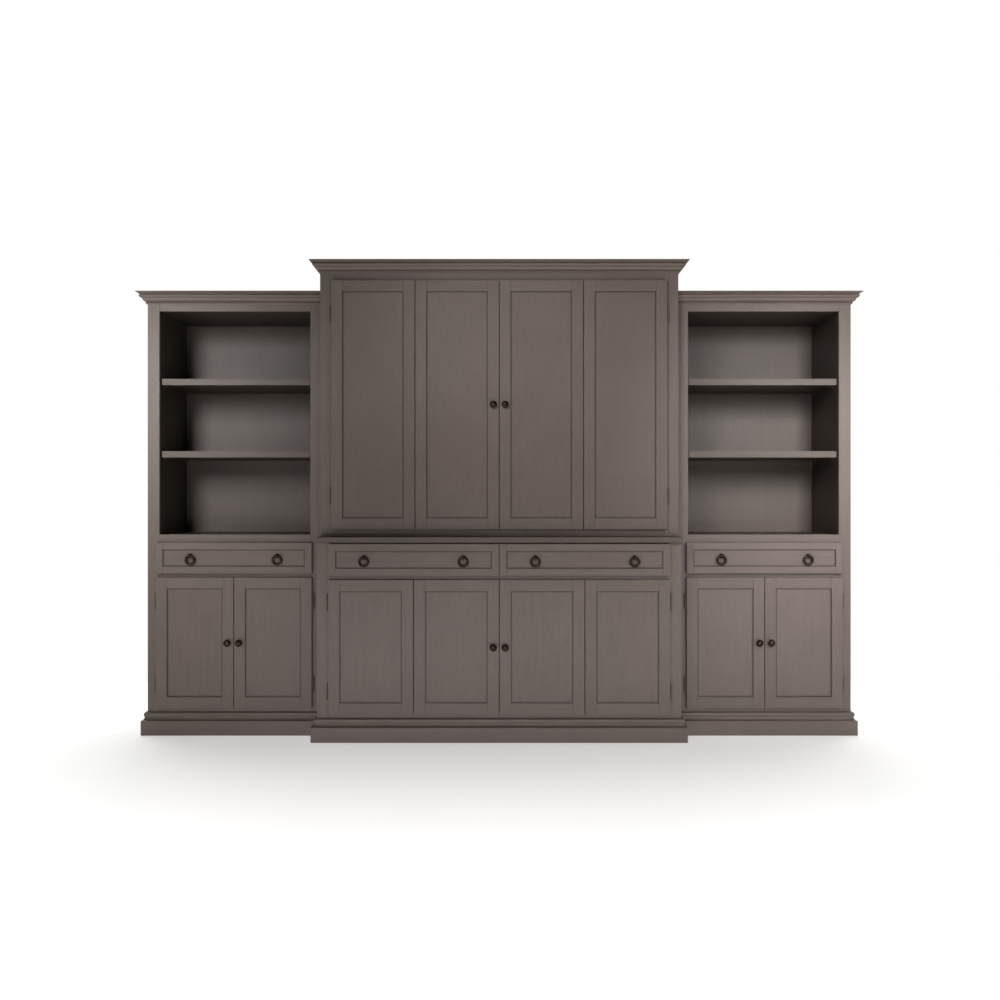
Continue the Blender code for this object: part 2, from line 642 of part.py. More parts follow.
def make_knob(name, x, front_y, z, pivot):
    """A turned mushroom knob on a short neck, standing on the door's face."""
    rim = KNOB_LENGTH - 0.009
    profile = [(0.0, KNOB_LENGTH), (KNOB_RADIUS * 0.55, KNOB_LENGTH - 0.001),
               (KNOB_RADIUS * 0.90, KNOB_LENGTH - 0.004), (KNOB_RADIUS, rim),
               (KNOB_RADIUS * 0.80, rim - 0.004), (0.0060, rim - 0.008),
               (0.0060, 0.004), (0.0095, 0.002), (0.0095, 0.0), (0.0, 0.0)]
    mesh = bpy.data.meshes.new(name)
    edges = [(index, index + 1) for index in range(len(profile) - 1)]
    mesh.from_pydata([(out, 0.0, up) for out, up in profile], edges, [])
    mesh.materials.append(dark_bronze(name))
    knob = add_object(name, mesh, PARTS, Vector((x, front_y - FIT, z)) - world_place(pivot), pivot)
    knob.rotation_euler = (math.pi / 2, 0, 0)
    turn = knob.modifiers.new("turned", "SCREW")
    turn.steps = 16
    turn.render_steps = 16
    turn.use_merge_vertices = True
    turn.merge_threshold = 0.00001
    turn.use_smooth_shade = True


def make_folding_pair(unit, side, sign, face, bottom, top, hinge_inset):
    """An outer leaf hinged to the case and an inner leaf hinged to it at the seam."""
    outer_edge = MIDDLE_OPENING + OVERLAY
    leaf_width = (outer_edge - LEAF_GAP / 2 - LEAF_GAP) / 2
    seam = outer_edge - leaf_width - LEAF_GAP / 2
    back = face - DOOR_GAP
    front = back - DOOR_THICKNESS
    axis_x = sign * (outer_edge + HINGE_OFFSET)
    axis_y = face - HINGE_FORWARD
    prefix = unit + "_" + side

    outer_pivot = add_pivot(prefix + "_outer_hinge_axis", (axis_x, axis_y, bottom))
    outer_name = prefix + "_outer_door"
    outer = add_framed_board(outer_name, (sign * (seam + LEAF_GAP / 2), front, bottom),
                             (sign * outer_edge, back, top), DOOR_STILE, outer_pivot)
    join_hinge_barrels(outer, axis_x, axis_y, sign * outer_edge, bottom, top, hinge_inset)

    seam_point = (sign * seam, back + SEAM_AXIS_SETBACK, bottom)
    inner_pivot = add_pivot(prefix + "_seam_hinge_axis", seam_point, outer_pivot)
    inner_name = prefix + "_inner_door"
    add_framed_board(inner_name, (sign * LEAF_GAP / 2, front, bottom),
                     (sign * (seam - LEAF_GAP / 2), back, top), DOOR_STILE, inner_pivot)
    make_knob(prefix + "_knob", sign * (LEAF_GAP / 2 + KNOB_EDGE), front, (bottom + top) / 2, inner_pivot)


def make_bookcase_doors(side, sign):
    """Two doors that meet in the middle, each hinged at its outer edge."""
    bottom = CUPBOARD_BOTTOM - OVERLAY
    top = CUPBOARD_TOP + OVERLAY
    back = BOOKCASE_FACE - DOOR_GAP
    front = back - DOOR_THICKNESS
    axis_y = BOOKCASE_FACE - HINGE_FORWARD
    middle = sign * BOOKCASE_MIDDLE
    half_width = BOOKCASE_OPENING + OVERLAY
    for label, way in (("inner", -sign), ("outer", sign)):
        edge = middle + way * half_width
        axis_x = edge + way * HINGE_OFFSET
        prefix = side + "_bookcase_" + label
        pivot = add_pivot(prefix + "_hinge_axis", (axis_x, axis_y, bottom))
        door = add_framed_board(prefix + "_door", (middle + way * LEAF_GAP / 2, front, bottom),
                                (edge, back, top), DOOR_STILE, pivot)
        join_hinge_barrels(door, axis_x, axis_y, edge, bottom, top, BOOKCASE_HINGE_INSET)
        knob_x = middle + way * (LEAF_GAP / 2 + KNOB_EDGE)
        make_knob(prefix + "_knob", knob_x, front, (bottom + top) / 2, pivot)


# Drawers

def join_ring_post(piece, label, x, panel_y, z):
    """A rosette, a stem and a drilled ball that the ring hangs in."""
    axis_y = panel_y - EYE_STANDOFF
    rosette = cylinder_tool(piece.name + "_" + label + "_rosette", (x, panel_y, z), ROSETTE_RADIUS,
                            2 * ROSETTE_THICKNESS, "Y", 20)
    stem_length = EYE_STANDOFF - EYE_BORE - 0.001 + PANEL_RECESS / 2
    stem_middle = (x, panel_y + PANEL_RECESS / 2 - stem_length / 2, z)
    stem = cylinder_tool(piece.name + "_" + label + "_stem", stem_middle, STEM_RADIUS, stem_length, "Y", 12)
    ball = ball_tool(piece.name + "_" + label + "_ball", (x, axis_y, z), EYE_RADIUS)
    bore = cylinder_tool(piece.name + "_" + label + "_bore", (x, axis_y, z), EYE_BORE,
                         4 * EYE_RADIUS, "X", 12)
    combine(piece, rosette, "UNION")
    combine(piece, stem, "UNION")
    combine(piece, ball, "UNION")
    combine(piece, bore, "DIFFERENCE")


def make_ring(name, x, panel_y, z, slide_pivot):
    """A ring that hangs from its post. Its hinge axis passes through the top of the ring."""
    pivot = add_pivot(name + "_hinge_axis", (x, panel_y - EYE_STANDOFF, z), slide_pivot)
    bpy.ops.mesh.primitive_torus_add(major_segments=24, minor_segments=8, major_radius=RING_RADIUS,
                                     minor_radius=RING_WIRE)
    ring = bpy.context.object
    ring.name = name
    ring.data.name = name
    for holder in list(ring.users_collection):
        holder.objects.unlink(ring)
    PARTS.objects.link(ring)
    ring.parent = pivot
    ring.location = (0, 0, -RING_RADIUS)
    ring.rotation_euler = (math.pi / 2, 0, 0)
    ring.data.materials.append(dark_bronze(name))
    ring.data.shade_smooth()


def make_drawer(prefix, low_x, high_x, face, opening_low, opening_high, length):
    """A framed front with two ring pulls, and the box behind it."""
    bottom = DRAWER_BOTTOM - OVERLAY
    top = DRAWER_TOP + OVERLAY
    back = face - DOOR_GAP
    front = back - DOOR_THICKNESS
    slide = add_pivot(prefix + "_slide", ((low_x + high_x) / 2, face, (bottom + top) / 2))
    board = add_framed_board(prefix + "_front", (low_x, front, bottom), (high_x, back, top),
                             DRAWER_STILE, slide)
    panel_y = front + PANEL_RECESS
    post_z = (bottom + top) / 2 + RING_RADIUS / 2
    for label, x in (("left", low_x + RING_END_DISTANCE), ("right", high_x - RING_END_DISTANCE)):
        join_ring_post(board, label, x, panel_y, post_z)
        make_ring(prefix + "_" + label + "_ring", x, panel_y, post_z, slide)

    box_low = opening_low + RUNNER_GAP
    box_high = opening_high - RUNNER_GAP
    box_bottom = DRAWER_BOTTOM + DRAWER_BOX_CLEARANCE
    box_top = DRAWER_TOP - DRAWER_BOX_CLEARANCE
    tray = add_board(prefix + "_box", (box_low, back + FIT, box_bottom), (box_high, face + length, box_top),
                     bare_wood(prefix + "_box"), slide)
    cut_box(tray, "inside", (box_low + DRAWER_WALL, back + FIT + DRAWER_WALL, box_bottom + DRAWER_FLOOR),
            (box_high - DRAWER_WALL, face + length - DRAWER_WALL, box_top + PAST))


def make_base_drawers():
    inner = LEAF_GAP / 2
    outer = MIDDLE_OPENING + OVERLAY
    for side, sign in SIDES:
        low_x, high_x = sorted((sign * inner, sign * outer))
        opening_low, opening_high = sorted((sign * DRAWER_MULLION / 2, sign * MIDDLE_OPENING))
        make_drawer("base_" + side + "_drawer", low_x, high_x, BASE_FACE, opening_low, opening_high,
                    BASE_DRAWER_LENGTH)


def make_bookcase_drawer(side, sign):
    low_x, high_x = bookcase_span(sign, BOOKCASE_OPENING + OVERLAY)
    opening_low, opening_high = bookcase_span(sign, BOOKCASE_OPENING)
    make_drawer(side + "_bookcase_drawer", low_x, high_x, BOOKCASE_FACE, opening_low, opening_high,
                BOOKCASE_DRAWER_LENGTH)


# The whole unit

def make_middle_cabinets():
    make_base_carcass()
    make_base_back()
    make_base_shelves()
    make_counter_top()
    make_base_plinth()
    make_hutch_carcass()
    make_hutch_face_frame()
    make_hutch_back()
    make_hutch_crown()
    for side, sign in SIDES:
        make_folding_pair("hutch", side, sign, HUTCH_FACE, HUTCH_OPENING_BOTTOM - OVERLAY,
                          HUTCH_OPENING_TOP + OVERLAY, HUTCH_HINGE_INSET)
        make_folding_pair("base", side, sign, BASE_FACE, CUPBOARD_BOTTOM - OVERLAY,
                          CUPBOARD_TOP + OVERLAY, BASE_HINGE_INSET)
    make_base_drawers()


def make_bookcase(side, sign):
    make_bookcase_carcass(side, sign)
    make_bookcase_back(side, sign)
    make_bookcase_shelves(side, sign)
    make_bookcase_crown(side, sign)
    make_bookcase_plinth(side, sign)
    make_bookcase_doors(side, sign)
    make_bookcase_drawer(side, sign)


clear_scene()
PARTS = new_collection("wall_unit")
CUTTERS = new_collection("cutters")
make_middle_cabinets()
for side_name, side_sign in SIDES:
    make_bookcase(side_name, side_sign)
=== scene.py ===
# %% [markdown]
# # A stained wall unit, piece by piece
# The real thing is four cabinets that stand in a row against a wall: a low base with
# drawers and folding doors, a hutch on its counter, and an open bookcase at each side.
# Everything below is in metres, with the floor at z = 0 and the fronts facing -Y. The
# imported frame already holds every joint, so each cell dresses one part of that frame.

# %% Load the frame
import itertools
import json
import math

import bmesh
import bpy
from mathutils import Matrix, Vector

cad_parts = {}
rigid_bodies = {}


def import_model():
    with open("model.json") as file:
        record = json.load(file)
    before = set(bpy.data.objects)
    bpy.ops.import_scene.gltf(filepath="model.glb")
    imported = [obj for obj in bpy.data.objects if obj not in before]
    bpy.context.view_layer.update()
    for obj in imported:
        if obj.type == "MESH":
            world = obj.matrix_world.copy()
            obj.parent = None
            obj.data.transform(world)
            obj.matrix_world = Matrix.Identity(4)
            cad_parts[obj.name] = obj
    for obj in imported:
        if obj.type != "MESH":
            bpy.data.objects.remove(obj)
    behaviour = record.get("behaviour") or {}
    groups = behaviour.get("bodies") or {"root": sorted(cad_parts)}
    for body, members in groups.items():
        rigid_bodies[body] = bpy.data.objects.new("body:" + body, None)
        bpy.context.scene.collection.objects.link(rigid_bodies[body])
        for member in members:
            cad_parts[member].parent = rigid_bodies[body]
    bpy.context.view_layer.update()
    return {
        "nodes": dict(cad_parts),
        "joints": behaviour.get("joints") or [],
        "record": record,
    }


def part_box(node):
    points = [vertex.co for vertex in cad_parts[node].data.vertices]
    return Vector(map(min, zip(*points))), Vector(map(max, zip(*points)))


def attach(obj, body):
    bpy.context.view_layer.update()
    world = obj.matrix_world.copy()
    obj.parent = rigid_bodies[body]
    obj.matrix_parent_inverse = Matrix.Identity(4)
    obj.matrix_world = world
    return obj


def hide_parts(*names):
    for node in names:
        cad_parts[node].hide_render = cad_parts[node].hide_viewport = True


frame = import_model()
MM = 0.001
HINGES = {joint["child"]: joint for joint in frame["joints"]}

# %% [markdown]
# ## Where things are
# A board's place comes from the frame, so that the dressed piece and the part that
# collides always agree. Only sizes that a cabinet maker would write on the cutting list
# are typed in: board thicknesses, stile widths, how far a door laps its opening.

# %% Sizes of the boards
CASE = "cabinets"
BOARD = 0.019
STILE_MIDDLE = 0.0635
STILE_BOOKCASE = 0.054
MULLION = 0.038
OVERLAY = 0.010
DOOR_GAP = 0.002
DOOR_STILE = 0.050
DRAWER_STILE = 0.031
PANEL_RECESS = 0.006
BARREL_REACH = 0.0095
RUNNER_HEIGHT = 0.040
BAY_RAIL = 0.047
LAP = 0.006                 # how far a back panel is let into the sides
BACK_LIP = BOARD - LAP      # what is left of a side behind its rebate
PARTITION_SETBACK = 0.030
CLEAR = 0.0003              # keeps two faces from lying in the same plane
SIDES = (("left", -1), ("right", 1))


def box_of(name):
    low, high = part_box(name)
    return [round(v, 5) for v in low], [round(v, 5) for v in high]


BASE_LOW, BASE_HIGH = box_of("base_carcass")
HUTCH_LOW, HUTCH_HIGH = box_of("hutch_face_frame")
HALF_MIDDLE = BASE_HIGH[0]
BACK_Y = BASE_HIGH[1]
BASE_FACE = BASE_LOW[1]
HUTCH_FACE = HUTCH_LOW[1]
BOOKCASE_FACE = box_of("left_bookcase_carcass")[0][1]
MIDDLE_OPENING = HALF_MIDDLE - STILE_MIDDLE
DOOR_LOW = box_of("base_left_inner_door")[0][2] + OVERLAY
DOOR_HIGH = box_of("base_left_inner_door")[1][2] - OVERLAY
DRAWER_LOW = box_of("base_left_drawer_front")[0][2] + OVERLAY
DRAWER_HIGH = box_of("base_left_drawer_front")[1][2] - OVERLAY
HUTCH_DOOR_LOW = box_of("hutch_left_inner_door")[0][2] + OVERLAY
HUTCH_DOOR_HIGH = box_of("hutch_left_inner_door")[1][2] - OVERLAY
BAY_FLOOR = DRAWER_HIGH + BAY_RAIL
BAY_TOP = box_of("left_bookcase_back_panel")[1][2] - LAP + CLEAR
BAY_REAR = box_of("left_bookcase_back_panel")[0][1] - CLEAR
WEB_TOP = (DOOR_HIGH + DRAWER_LOW + BOARD) / 2
print("faces: base", BASE_FACE, "hutch", HUTCH_FACE, "bookcase", BOOKCASE_FACE)

# %% [markdown]
# ## Camera and studio
# The unit stands on a pale, polished studio floor. A softbox hangs in front of each
# bookcase, so the outer cabinets are brightest, and one from the left lights the middle
# aslant. A long low one washes the plinths, and a wide sun from behind lightens the
# floor. Floor and surroundings glow less for the unit than for the lens: the background
# turns white, and the bays stay dark.

# %% Camera
scene = bpy.context.scene
scene.view_settings.view_transform = "Standard"
lens = bpy.data.cameras.new("studio_camera")
lens.lens = 36.1
lens.sensor_width = 36.0
camera = bpy.data.objects.new("studio_camera", lens)
camera.location = (0.0036, -4.733, 1.075)     # half as high as the unit
camera.rotation_euler = (math.radians(90), 0, 0)
scene.collection.objects.link(camera)
scene.camera = camera
print("camera at", tuple(round(v, 3) for v in camera.location))


# %% Colours and nodes
def shade(code):
    """An sRGB hex colour as the linear colour that shaders expect."""
    parts = [int(code[at:at + 2], 16) / 255 for at in (1, 3, 5)]
    linear = [p / 12.92 if p <= 0.04045 else ((p + 0.055) / 1.055) ** 2.4 for p in parts]
    return (*linear, 1.0)


def add_node(tree, kind, inputs=None, **settings):
    """A shader node with its settings, and a value or a link for each input."""
    made = tree.nodes.new(kind)
    for name, value in settings.items():
        setattr(made, name, value)
    for name, value in (inputs or {}).items():
        if isinstance(value, bpy.types.NodeSocket):
            tree.links.new(value, made.inputs[name])
        else:
            made.inputs[name].default_value = value
    return made


def noise(tree, vector, size, detail, **inputs):
    """Noise whose light and dark spots are about one size."""
    return add_node(tree, "ShaderNodeTexNoise", {
        "Vector": vector, "Scale": 1 / size, "Detail": detail, **inputs}).outputs["Fac"]


def remap(tree, value, low, high, bottom=0.0, top=1.0):
    """Turns low to high into bottom to top, and holds it there past either end."""
    return add_node(tree, "ShaderNodeMapRange", {
        "Value": value, "From Min": low, "From Max": high,
        "To Min": bottom, "To Max": top}).outputs["Result"]


def weigh(tree, value, weight, other=0.0, **settings):
    """A value times its weight, on top of another value."""
    return add_node(tree, "ShaderNodeMath", {0: value, 1: weight, 2: other},
                    operation="MULTIPLY_ADD", **settings).outputs["Value"]


def blend(tree, share, first, second):
    return add_node(tree, "ShaderNodeMix", {0: share, 6: first, 7: second},
                    data_type="RGBA").outputs[2]


def wire_up(tree, shader, sockets):
    for name, value in sockets.items():
        tree.links.new(value, shader.inputs[name])


def new_finish(name, metallic=0.0, roughness=0.5):
    finish = bpy.data.materials.new(name)
    finish.use_nodes = True
    shader = finish.node_tree.nodes["Principled BSDF"]
    shader.inputs["Metallic"].default_value = metallic
    shader.inputs["Roughness"].default_value = roughness
    return finish, finish.node_tree, shader


print("white is", tuple(round(v, 2) for v in shade("#ffffff")))

# %% Lights
# name, place, what it is aimed at, width, height, watts, spread in degrees
SOFTBOXES = (
    ("left_softbox", (-1.97, -2.50, 2.10), (-1.68, 0.0, 1.34), 0.60, 0.90, 4.1, 46),
    ("middle_softbox", (-0.90, -3.40, 2.50), (0.80, 0.0, 1.46), 0.90, 0.70, 4.7, 48),
    ("right_softbox", (1.76, -2.50, 2.05), (1.64, 0.0, 1.12), 0.60, 0.90, 6.3, 50),
    ("low_softbox", (0.20, -3.40, 0.40), (0.20, 0.0, 0.00), 4.00, 0.35, 4.9, 44))


def add_light(name, kind, place, power, **settings):
    light = bpy.data.lights.new(name, kind)
    light.energy = power
    for key, value in settings.items():
        setattr(light, key, value)
    lamp = bpy.data.objects.new(name, light)
    lamp.location = place
    lamp.visible_camera = False
    scene.collection.objects.link(lamp)
    return lamp


for name, place, aim, width, height, power, fan in SOFTBOXES:
    softbox = add_light(name, "AREA", place, power, shape="RECTANGLE", size=width,
                        size_y=height, spread=math.radians(fan))
    direction = Vector(aim) - Vector(place)
    softbox.rotation_euler = direction.to_track_quat("-Z", "Y").to_euler()
backlight = add_light("high_backlight", "SUN", (0, 2.9, 5), 3.6, angle=math.radians(60))
backlight.rotation_euler = (math.radians(-30), 0, 0)

# %% Surroundings
ROOM_GLOW = (0.02, 1.0)     # on the unit, and in the lens
FLOOR_GLOW = (0.28, 0.48)
FLOOR_HALF = 12.0
FLOOR_BACK = 1.2

room = bpy.data.worlds.new("pale_studio")
room.use_nodes = True
scene.world = room
sky = room.node_tree.nodes["Background"]
seen = add_node(room.node_tree, "ShaderNodeLightPath").outputs["Is Camera Ray"]
wire_up(room.node_tree, sky, {"Strength": remap(room.node_tree, seen, 0, 1, *ROOM_GLOW)})
sky.inputs["Color"].default_value = (1.0, 1.0, 1.0, 1.0)

floor_finish, floor_tree, floor_shader = new_finish("polished_pale_floor", roughness=0.22)
floor_shader.inputs["Base Color"].default_value = shade("#f2f1ef")
floor_shader.inputs["Emission Color"].default_value = (1.0, 1.0, 1.0, 1.0)
floor_seen = add_node(floor_tree, "ShaderNodeLightPath").outputs["Is Camera Ray"]
floor_place = add_node(floor_tree, "ShaderNodeTexCoord").outputs["Object"]
haze = noise(floor_tree, floor_place, 0.4, 2.0)
wire_up(floor_tree, floor_shader, {
    "Emission Strength": remap(floor_tree, floor_seen, 0, 1, *FLOOR_GLOW),
    "Roughness": remap(floor_tree, haze, 0, 1, 0.20, 0.26)})
floor_mesh = bmesh.new()
bmesh.ops.create_grid(floor_mesh, x_segments=1, y_segments=1, size=FLOOR_HALF,
                      matrix=Matrix.Translation((0, FLOOR_BACK - FLOOR_HALF, 0)))
floor_data = bpy.data.meshes.new("studio_floor")
floor_mesh.to_mesh(floor_data)
floor_mesh.free()
floor_data.materials.append(floor_finish)
studio_floor = bpy.data.objects.new("studio_floor", floor_data)
scene.collection.objects.link(studio_floor)
print("floor:", studio_floor.name)

# %% [markdown]
# ## The stain
# The real finish is a warm grey-brown wiping stain under a satin lacquer, on a wood with
# shallow grain such as maple. A stain lets the wood show: streaks run along the board,
# pores are darker dashes, and each board takes the colour a little differently. A painted
# flat colour would look like plastic. So streaks and pores are noises stretched along the
# grain, over a slow one that mottles the board, and each board carries a number of its
# own that shifts them all. Grain has a direction, so there is one finish for each way
# that a board can lie.
#
# A fine dark line of painted shade runs where a panel meets its frame, in place of the
# shadow in the recess. Mouldings are of plainer timber. Backs, shelves and the counter
# are thin boards that took a darker coat, with painted shade on their undersides, and
# the linings of the open bays are painted dark in place of the shade inside the bays.


# %% Stained and clear-coated wood
STREAK = 7.0 * MM           # width of a grain streak, coarser than real so that it shows
PORE = 1.1 * MM             # width of a pore, the dark dashes that stain leaves
CLOUD = 240.0 * MM          # how far apart the stain turns lighter and darker
GRAIN_STRETCH = 0.035       # a streak is about thirty times as long as it is wide
BOARD_SHIFT = (13.0, 17.0, 19.0)    # moves the pattern from one board to the next
STREAK_SHARE, TONE_SHARE, CLOUD_SHARE, PORE_SHARE = 0.26, 0.16, 0.18, 0.30


def stain_darkness(tree, dash, figure, underside):
    """How dark the wood turns: stain in pores, painted shade along recesses and underneath."""
    recess_shade = add_node(tree, "ShaderNodeAttribute", attribute_name="painted_recess_shade").outputs["Fac"]
    dark = weigh(tree, dash, PORE_SHARE * figure)
    # Painted shade along the panels' recesses.
    dark = weigh(tree, recess_shade, 1.0, dark, use_clamp=True)
    # Painted shade: faces that look downward are drawn darker, as shade falls under a board.
    if underside:
        facing = add_node(tree, "ShaderNodeNewGeometry").outputs["Normal"]
        rise = add_node(tree, "ShaderNodeSeparateXYZ", {"Vector": facing}).outputs["Z"]
        below = remap(tree, rise, -0.3, -0.8, top=underside)
        dark = weigh(tree, below, 1.0, dark, use_clamp=True)
    return dark


def wood_finish(name, run, colours, roughness, pore_depth, figure=1.0, underside=0.0):
    """Wood whose grain runs along one axis: 0 for X, 1 for Y, 2 for Z."""
    pale, deep, pore = [shade(code) for code in colours]
    finish, tree, shader = new_finish(name, roughness=roughness)
    place = add_node(tree, "ShaderNodeTexCoord").outputs["Object"]
    tone = add_node(tree, "ShaderNodeAttribute", attribute_name="board_tone").outputs["Fac"]
    own = add_node(tree, "ShaderNodeVectorMath", {0: tone, 1: BOARD_SHIFT, 2: place},
                   operation="MULTIPLY_ADD").outputs["Vector"]
    squeeze = [GRAIN_STRETCH if axis == run else 1.0 for axis in range(3)]
    along = add_node(tree, "ShaderNodeVectorMath", {0: own, 1: squeeze},
                     operation="MULTIPLY").outputs["Vector"]
    streaks = noise(tree, along, STREAK, 5.0, Roughness=0.66)
    streak = remap(tree, streaks, 0.36, 0.66)
    dash = remap(tree, noise(tree, along, PORE, 1.0), 0.60, 0.70)
    cloud = remap(tree, noise(tree, own, CLOUD, 2.0), 0.35, 0.65)
    depth = weigh(tree, streak, STREAK_SHARE * figure)
    depth = weigh(tree, tone, TONE_SHARE, depth)
    depth = weigh(tree, cloud, CLOUD_SHARE, depth)
    dark = stain_darkness(tree, dash, figure, underside)
    relief = weigh(tree, streak, 0.35, dash)
    bump = add_node(tree, "ShaderNodeBump", {
        "Height": relief, "Strength": 0.30, "Distance": pore_depth}, invert=True)
    wire_up(tree, shader, {
        "Base Color": blend(tree, dark, blend(tree, depth, pale, deep), pore),
        "Roughness": remap(tree, streaks, 0, 1, roughness - 0.05, roughness + 0.07),
        "Normal": bump.outputs["Normal"]})
    return finish


def three_ways(name, colours, roughness, pore_depth, **more):
    """One finish for each way the grain can run."""
    return [wood_finish(name + "_" + way, run, colours, roughness, pore_depth, **more)
            for run, way in enumerate(("across", "deep", "upright"))]


GREY = ("#70635b", "#5c4f48", "#2f2722")
STAIN = three_ways("grey_stain", GREY, 0.44, 0.25 * MM)
MOULDING_STAIN = three_ways("grey_stain_moulding", GREY, 0.42, 0.25 * MM, figure=0.35)
# The bay linings are painted near black in place of the shade that fills the open bays.
BAY_LINING_PAINTED_SHADE = three_ways("bay_lining_painted_shade", ("#3c352f", "#332c27", "#231d19"),
                          0.50, 0.20 * MM)
MAPLE = three_ways("lacquered_maple", ("#dcbd92", "#c6a274", "#9c7a50"), 0.34, 0.15 * MM)
# A darker stain for thin boards, with painted shade on their downward faces.
THIN_STAIN_PAINTED_SHADE_BELOW = three_ways("grey_stain_thin_board", ("#5b4f47", "#4b4039", "#231c18"),
                        0.46, 0.20 * MM, underside=0.75)
ACROSS, DEEP, UPRIGHT = 0, 1, 2
LINING = len(STAIN)         # where the linings' finishes start, after a case's own three
for woods in (STAIN, THIN_STAIN_PAINTED_SHADE_BELOW, MOULDING_STAIN, BAY_LINING_PAINTED_SHADE, MAPLE):
    print("woods:", [finish.name for finish in woods])

# %% [markdown]
# ## Metals and plastics
# Knobs and rings are zinc castings with an oil-rubbed bronze finish: nearly black, satin,
# a little browner where hands rub them. The seam hinges are bronzed too. The barrels
# beside the doors and the shelf pins are sprayed in the colour of the stain, so that they
# hardly show. Slides and screws are zinc-plated steel, bumpers are soft clear
# polyurethane and the cable grommets are moulded nylon.


# %% Hardware finishes
def metal_finish(name, dark, worn, roughness, patch):
    """Metal that is worn in patches of about one size."""
    finish, tree, shader = new_finish(name, metallic=1.0, roughness=roughness)
    place = add_node(tree, "ShaderNodeTexCoord").outputs["Object"]
    patches = noise(tree, place, patch, 3.0)
    rubbed = remap(tree, patches, 0.45, 0.75)
    bump = add_node(tree, "ShaderNodeBump", {
        "Height": patches, "Strength": 0.08, "Distance": 0.1 * MM})
    wire_up(tree, shader, {
        "Base Color": blend(tree, rubbed, shade(dark), shade(worn)),
        "Roughness": remap(tree, patches, 0, 1, roughness + 0.06, roughness - 0.06),
        "Normal": bump.outputs["Normal"]})
    return finish


def moulded_finish(name, colour, roughness, grit):
    """Plastic or paint with a fine grit in its surface."""
    finish, tree, shader = new_finish(name, roughness=roughness)
    shader.inputs["Base Color"].default_value = shade(colour)
    place = add_node(tree, "ShaderNodeTexCoord").outputs["Object"]
    bump = add_node(tree, "ShaderNodeBump", {
        "Height": noise(tree, place, grit, 1.0), "Strength": 0.15, "Distance": 0.05 * MM})
    wire_up(tree, shader, {"Normal": bump.outputs["Normal"]})
    return finish


BRONZE = metal_finish("oil_rubbed_bronze", "#362c26", "#57473b", 0.44, 7 * MM)
ZINC = metal_finish("zinc_plated_steel", "#c3c6c8", "#aeb2b5", 0.30, 9 * MM)
CLEAR_BUMPER = moulded_finish("clear_polyurethane", "#d6d3cc", 0.35, 2 * MM)
HINGE_PAINT = moulded_finish("stain_coloured_hinge_paint", "#574c44", 0.42, 0.6 * MM)
NYLON = moulded_finish("moulded_black_nylon", "#232120", 0.55, 0.8 * MM)
for finish in (BRONZE, ZINC, CLEAR_BUMPER, HINGE_PAINT, NYLON):
    print("hardware:", finish.name)

# %% [markdown]
# ## Helpers that shape a piece
# Nearly everything here is either a board with eased edges, something turned on a lathe,
# or a moulding run along a line. So there is one helper for each. A board is a cube that
# is scaled to size and bevelled, a turned part is an outline that is spun, and a moulding
# is an outline that is extruded from corner to corner, so that its mitres come out right.

# %% Boards
EASE = 0.9 * MM             # how far sandpaper has broken an edge
FINE_EASE = 0.3 * MM
PLATE_EASE = 0.2 * MM
RECESS_SHADE_WIDTH = 8.5 * MM       # how far the painted recess shade fades into a panel
board_count = itertools.count(1)


def tone_of(number):
    """A number from 0 to 1 that jumps about from board to board, the same every run."""
    return (number * 0.6180339887) % 1.0


def add_board(mesh, low, high, grain, ease=EASE):
    """One board with eased edges, and a stain tone of its own."""
    before = set(mesh.faces)
    low, high = [[pick(pair) for pair in zip(low, high)] for pick in (min, max)]
    middle = [(a + b) / 2 for a, b in zip(low, high)]
    size = [b - a for a, b in zip(low, high)]
    place = Matrix.Translation(middle) @ Matrix.Diagonal((*size, 1.0))
    made = bmesh.ops.create_cube(mesh, size=1.0, matrix=place)
    edges = list({edge for vert in made["verts"] for edge in vert.link_edges})
    bmesh.ops.bevel(mesh, geom=edges, offset=ease, offset_type="OFFSET", affect="EDGES",
                    segments=2, profile=0.5, material=-1)
    tone_layer = mesh.verts.layers.float["board_tone"]
    tone = tone_of(next(board_count))
    for face in set(mesh.faces) - before:
        face.material_index = grain
        for vert in face.verts:
            vert[tone_layer] = tone


def add_panel_with_painted_shade(mesh, low, high, grain, hidden):
    """A panel with a fine line of painted shade along the frame round it, for its recess."""
    before = set(mesh.faces)
    add_board(mesh, low, high, grain, FINE_EASE)
    made = set(mesh.faces) - before
    recess_shade_layer = mesh.verts.layers.float["painted_recess_shade"]
    # Paints shade in a band inside the frame: full at its edge, fading to none inward.
    for way in (-1, 1):
        broad = max((face for face in made if face.normal.y * way > 0.9),
                    key=lambda face: face.calc_area())
        bmesh.ops.inset_region(mesh, faces=[broad], thickness=hidden, use_even_offset=True)
        for vert in broad.verts:
            vert[recess_shade_layer] = 1.0
        bmesh.ops.inset_region(mesh, faces=[broad], thickness=RECESS_SHADE_WIDTH, use_even_offset=True)
        for vert in broad.verts:
            vert[recess_shade_layer] = 0.0


def new_mesh():
    """An empty mesh with room for each board's tone and for the painted recess shade."""
    mesh = bmesh.new()
    mesh.verts.layers.float.new("board_tone")
    mesh.verts.layers.float.new("painted_recess_shade")
    return mesh


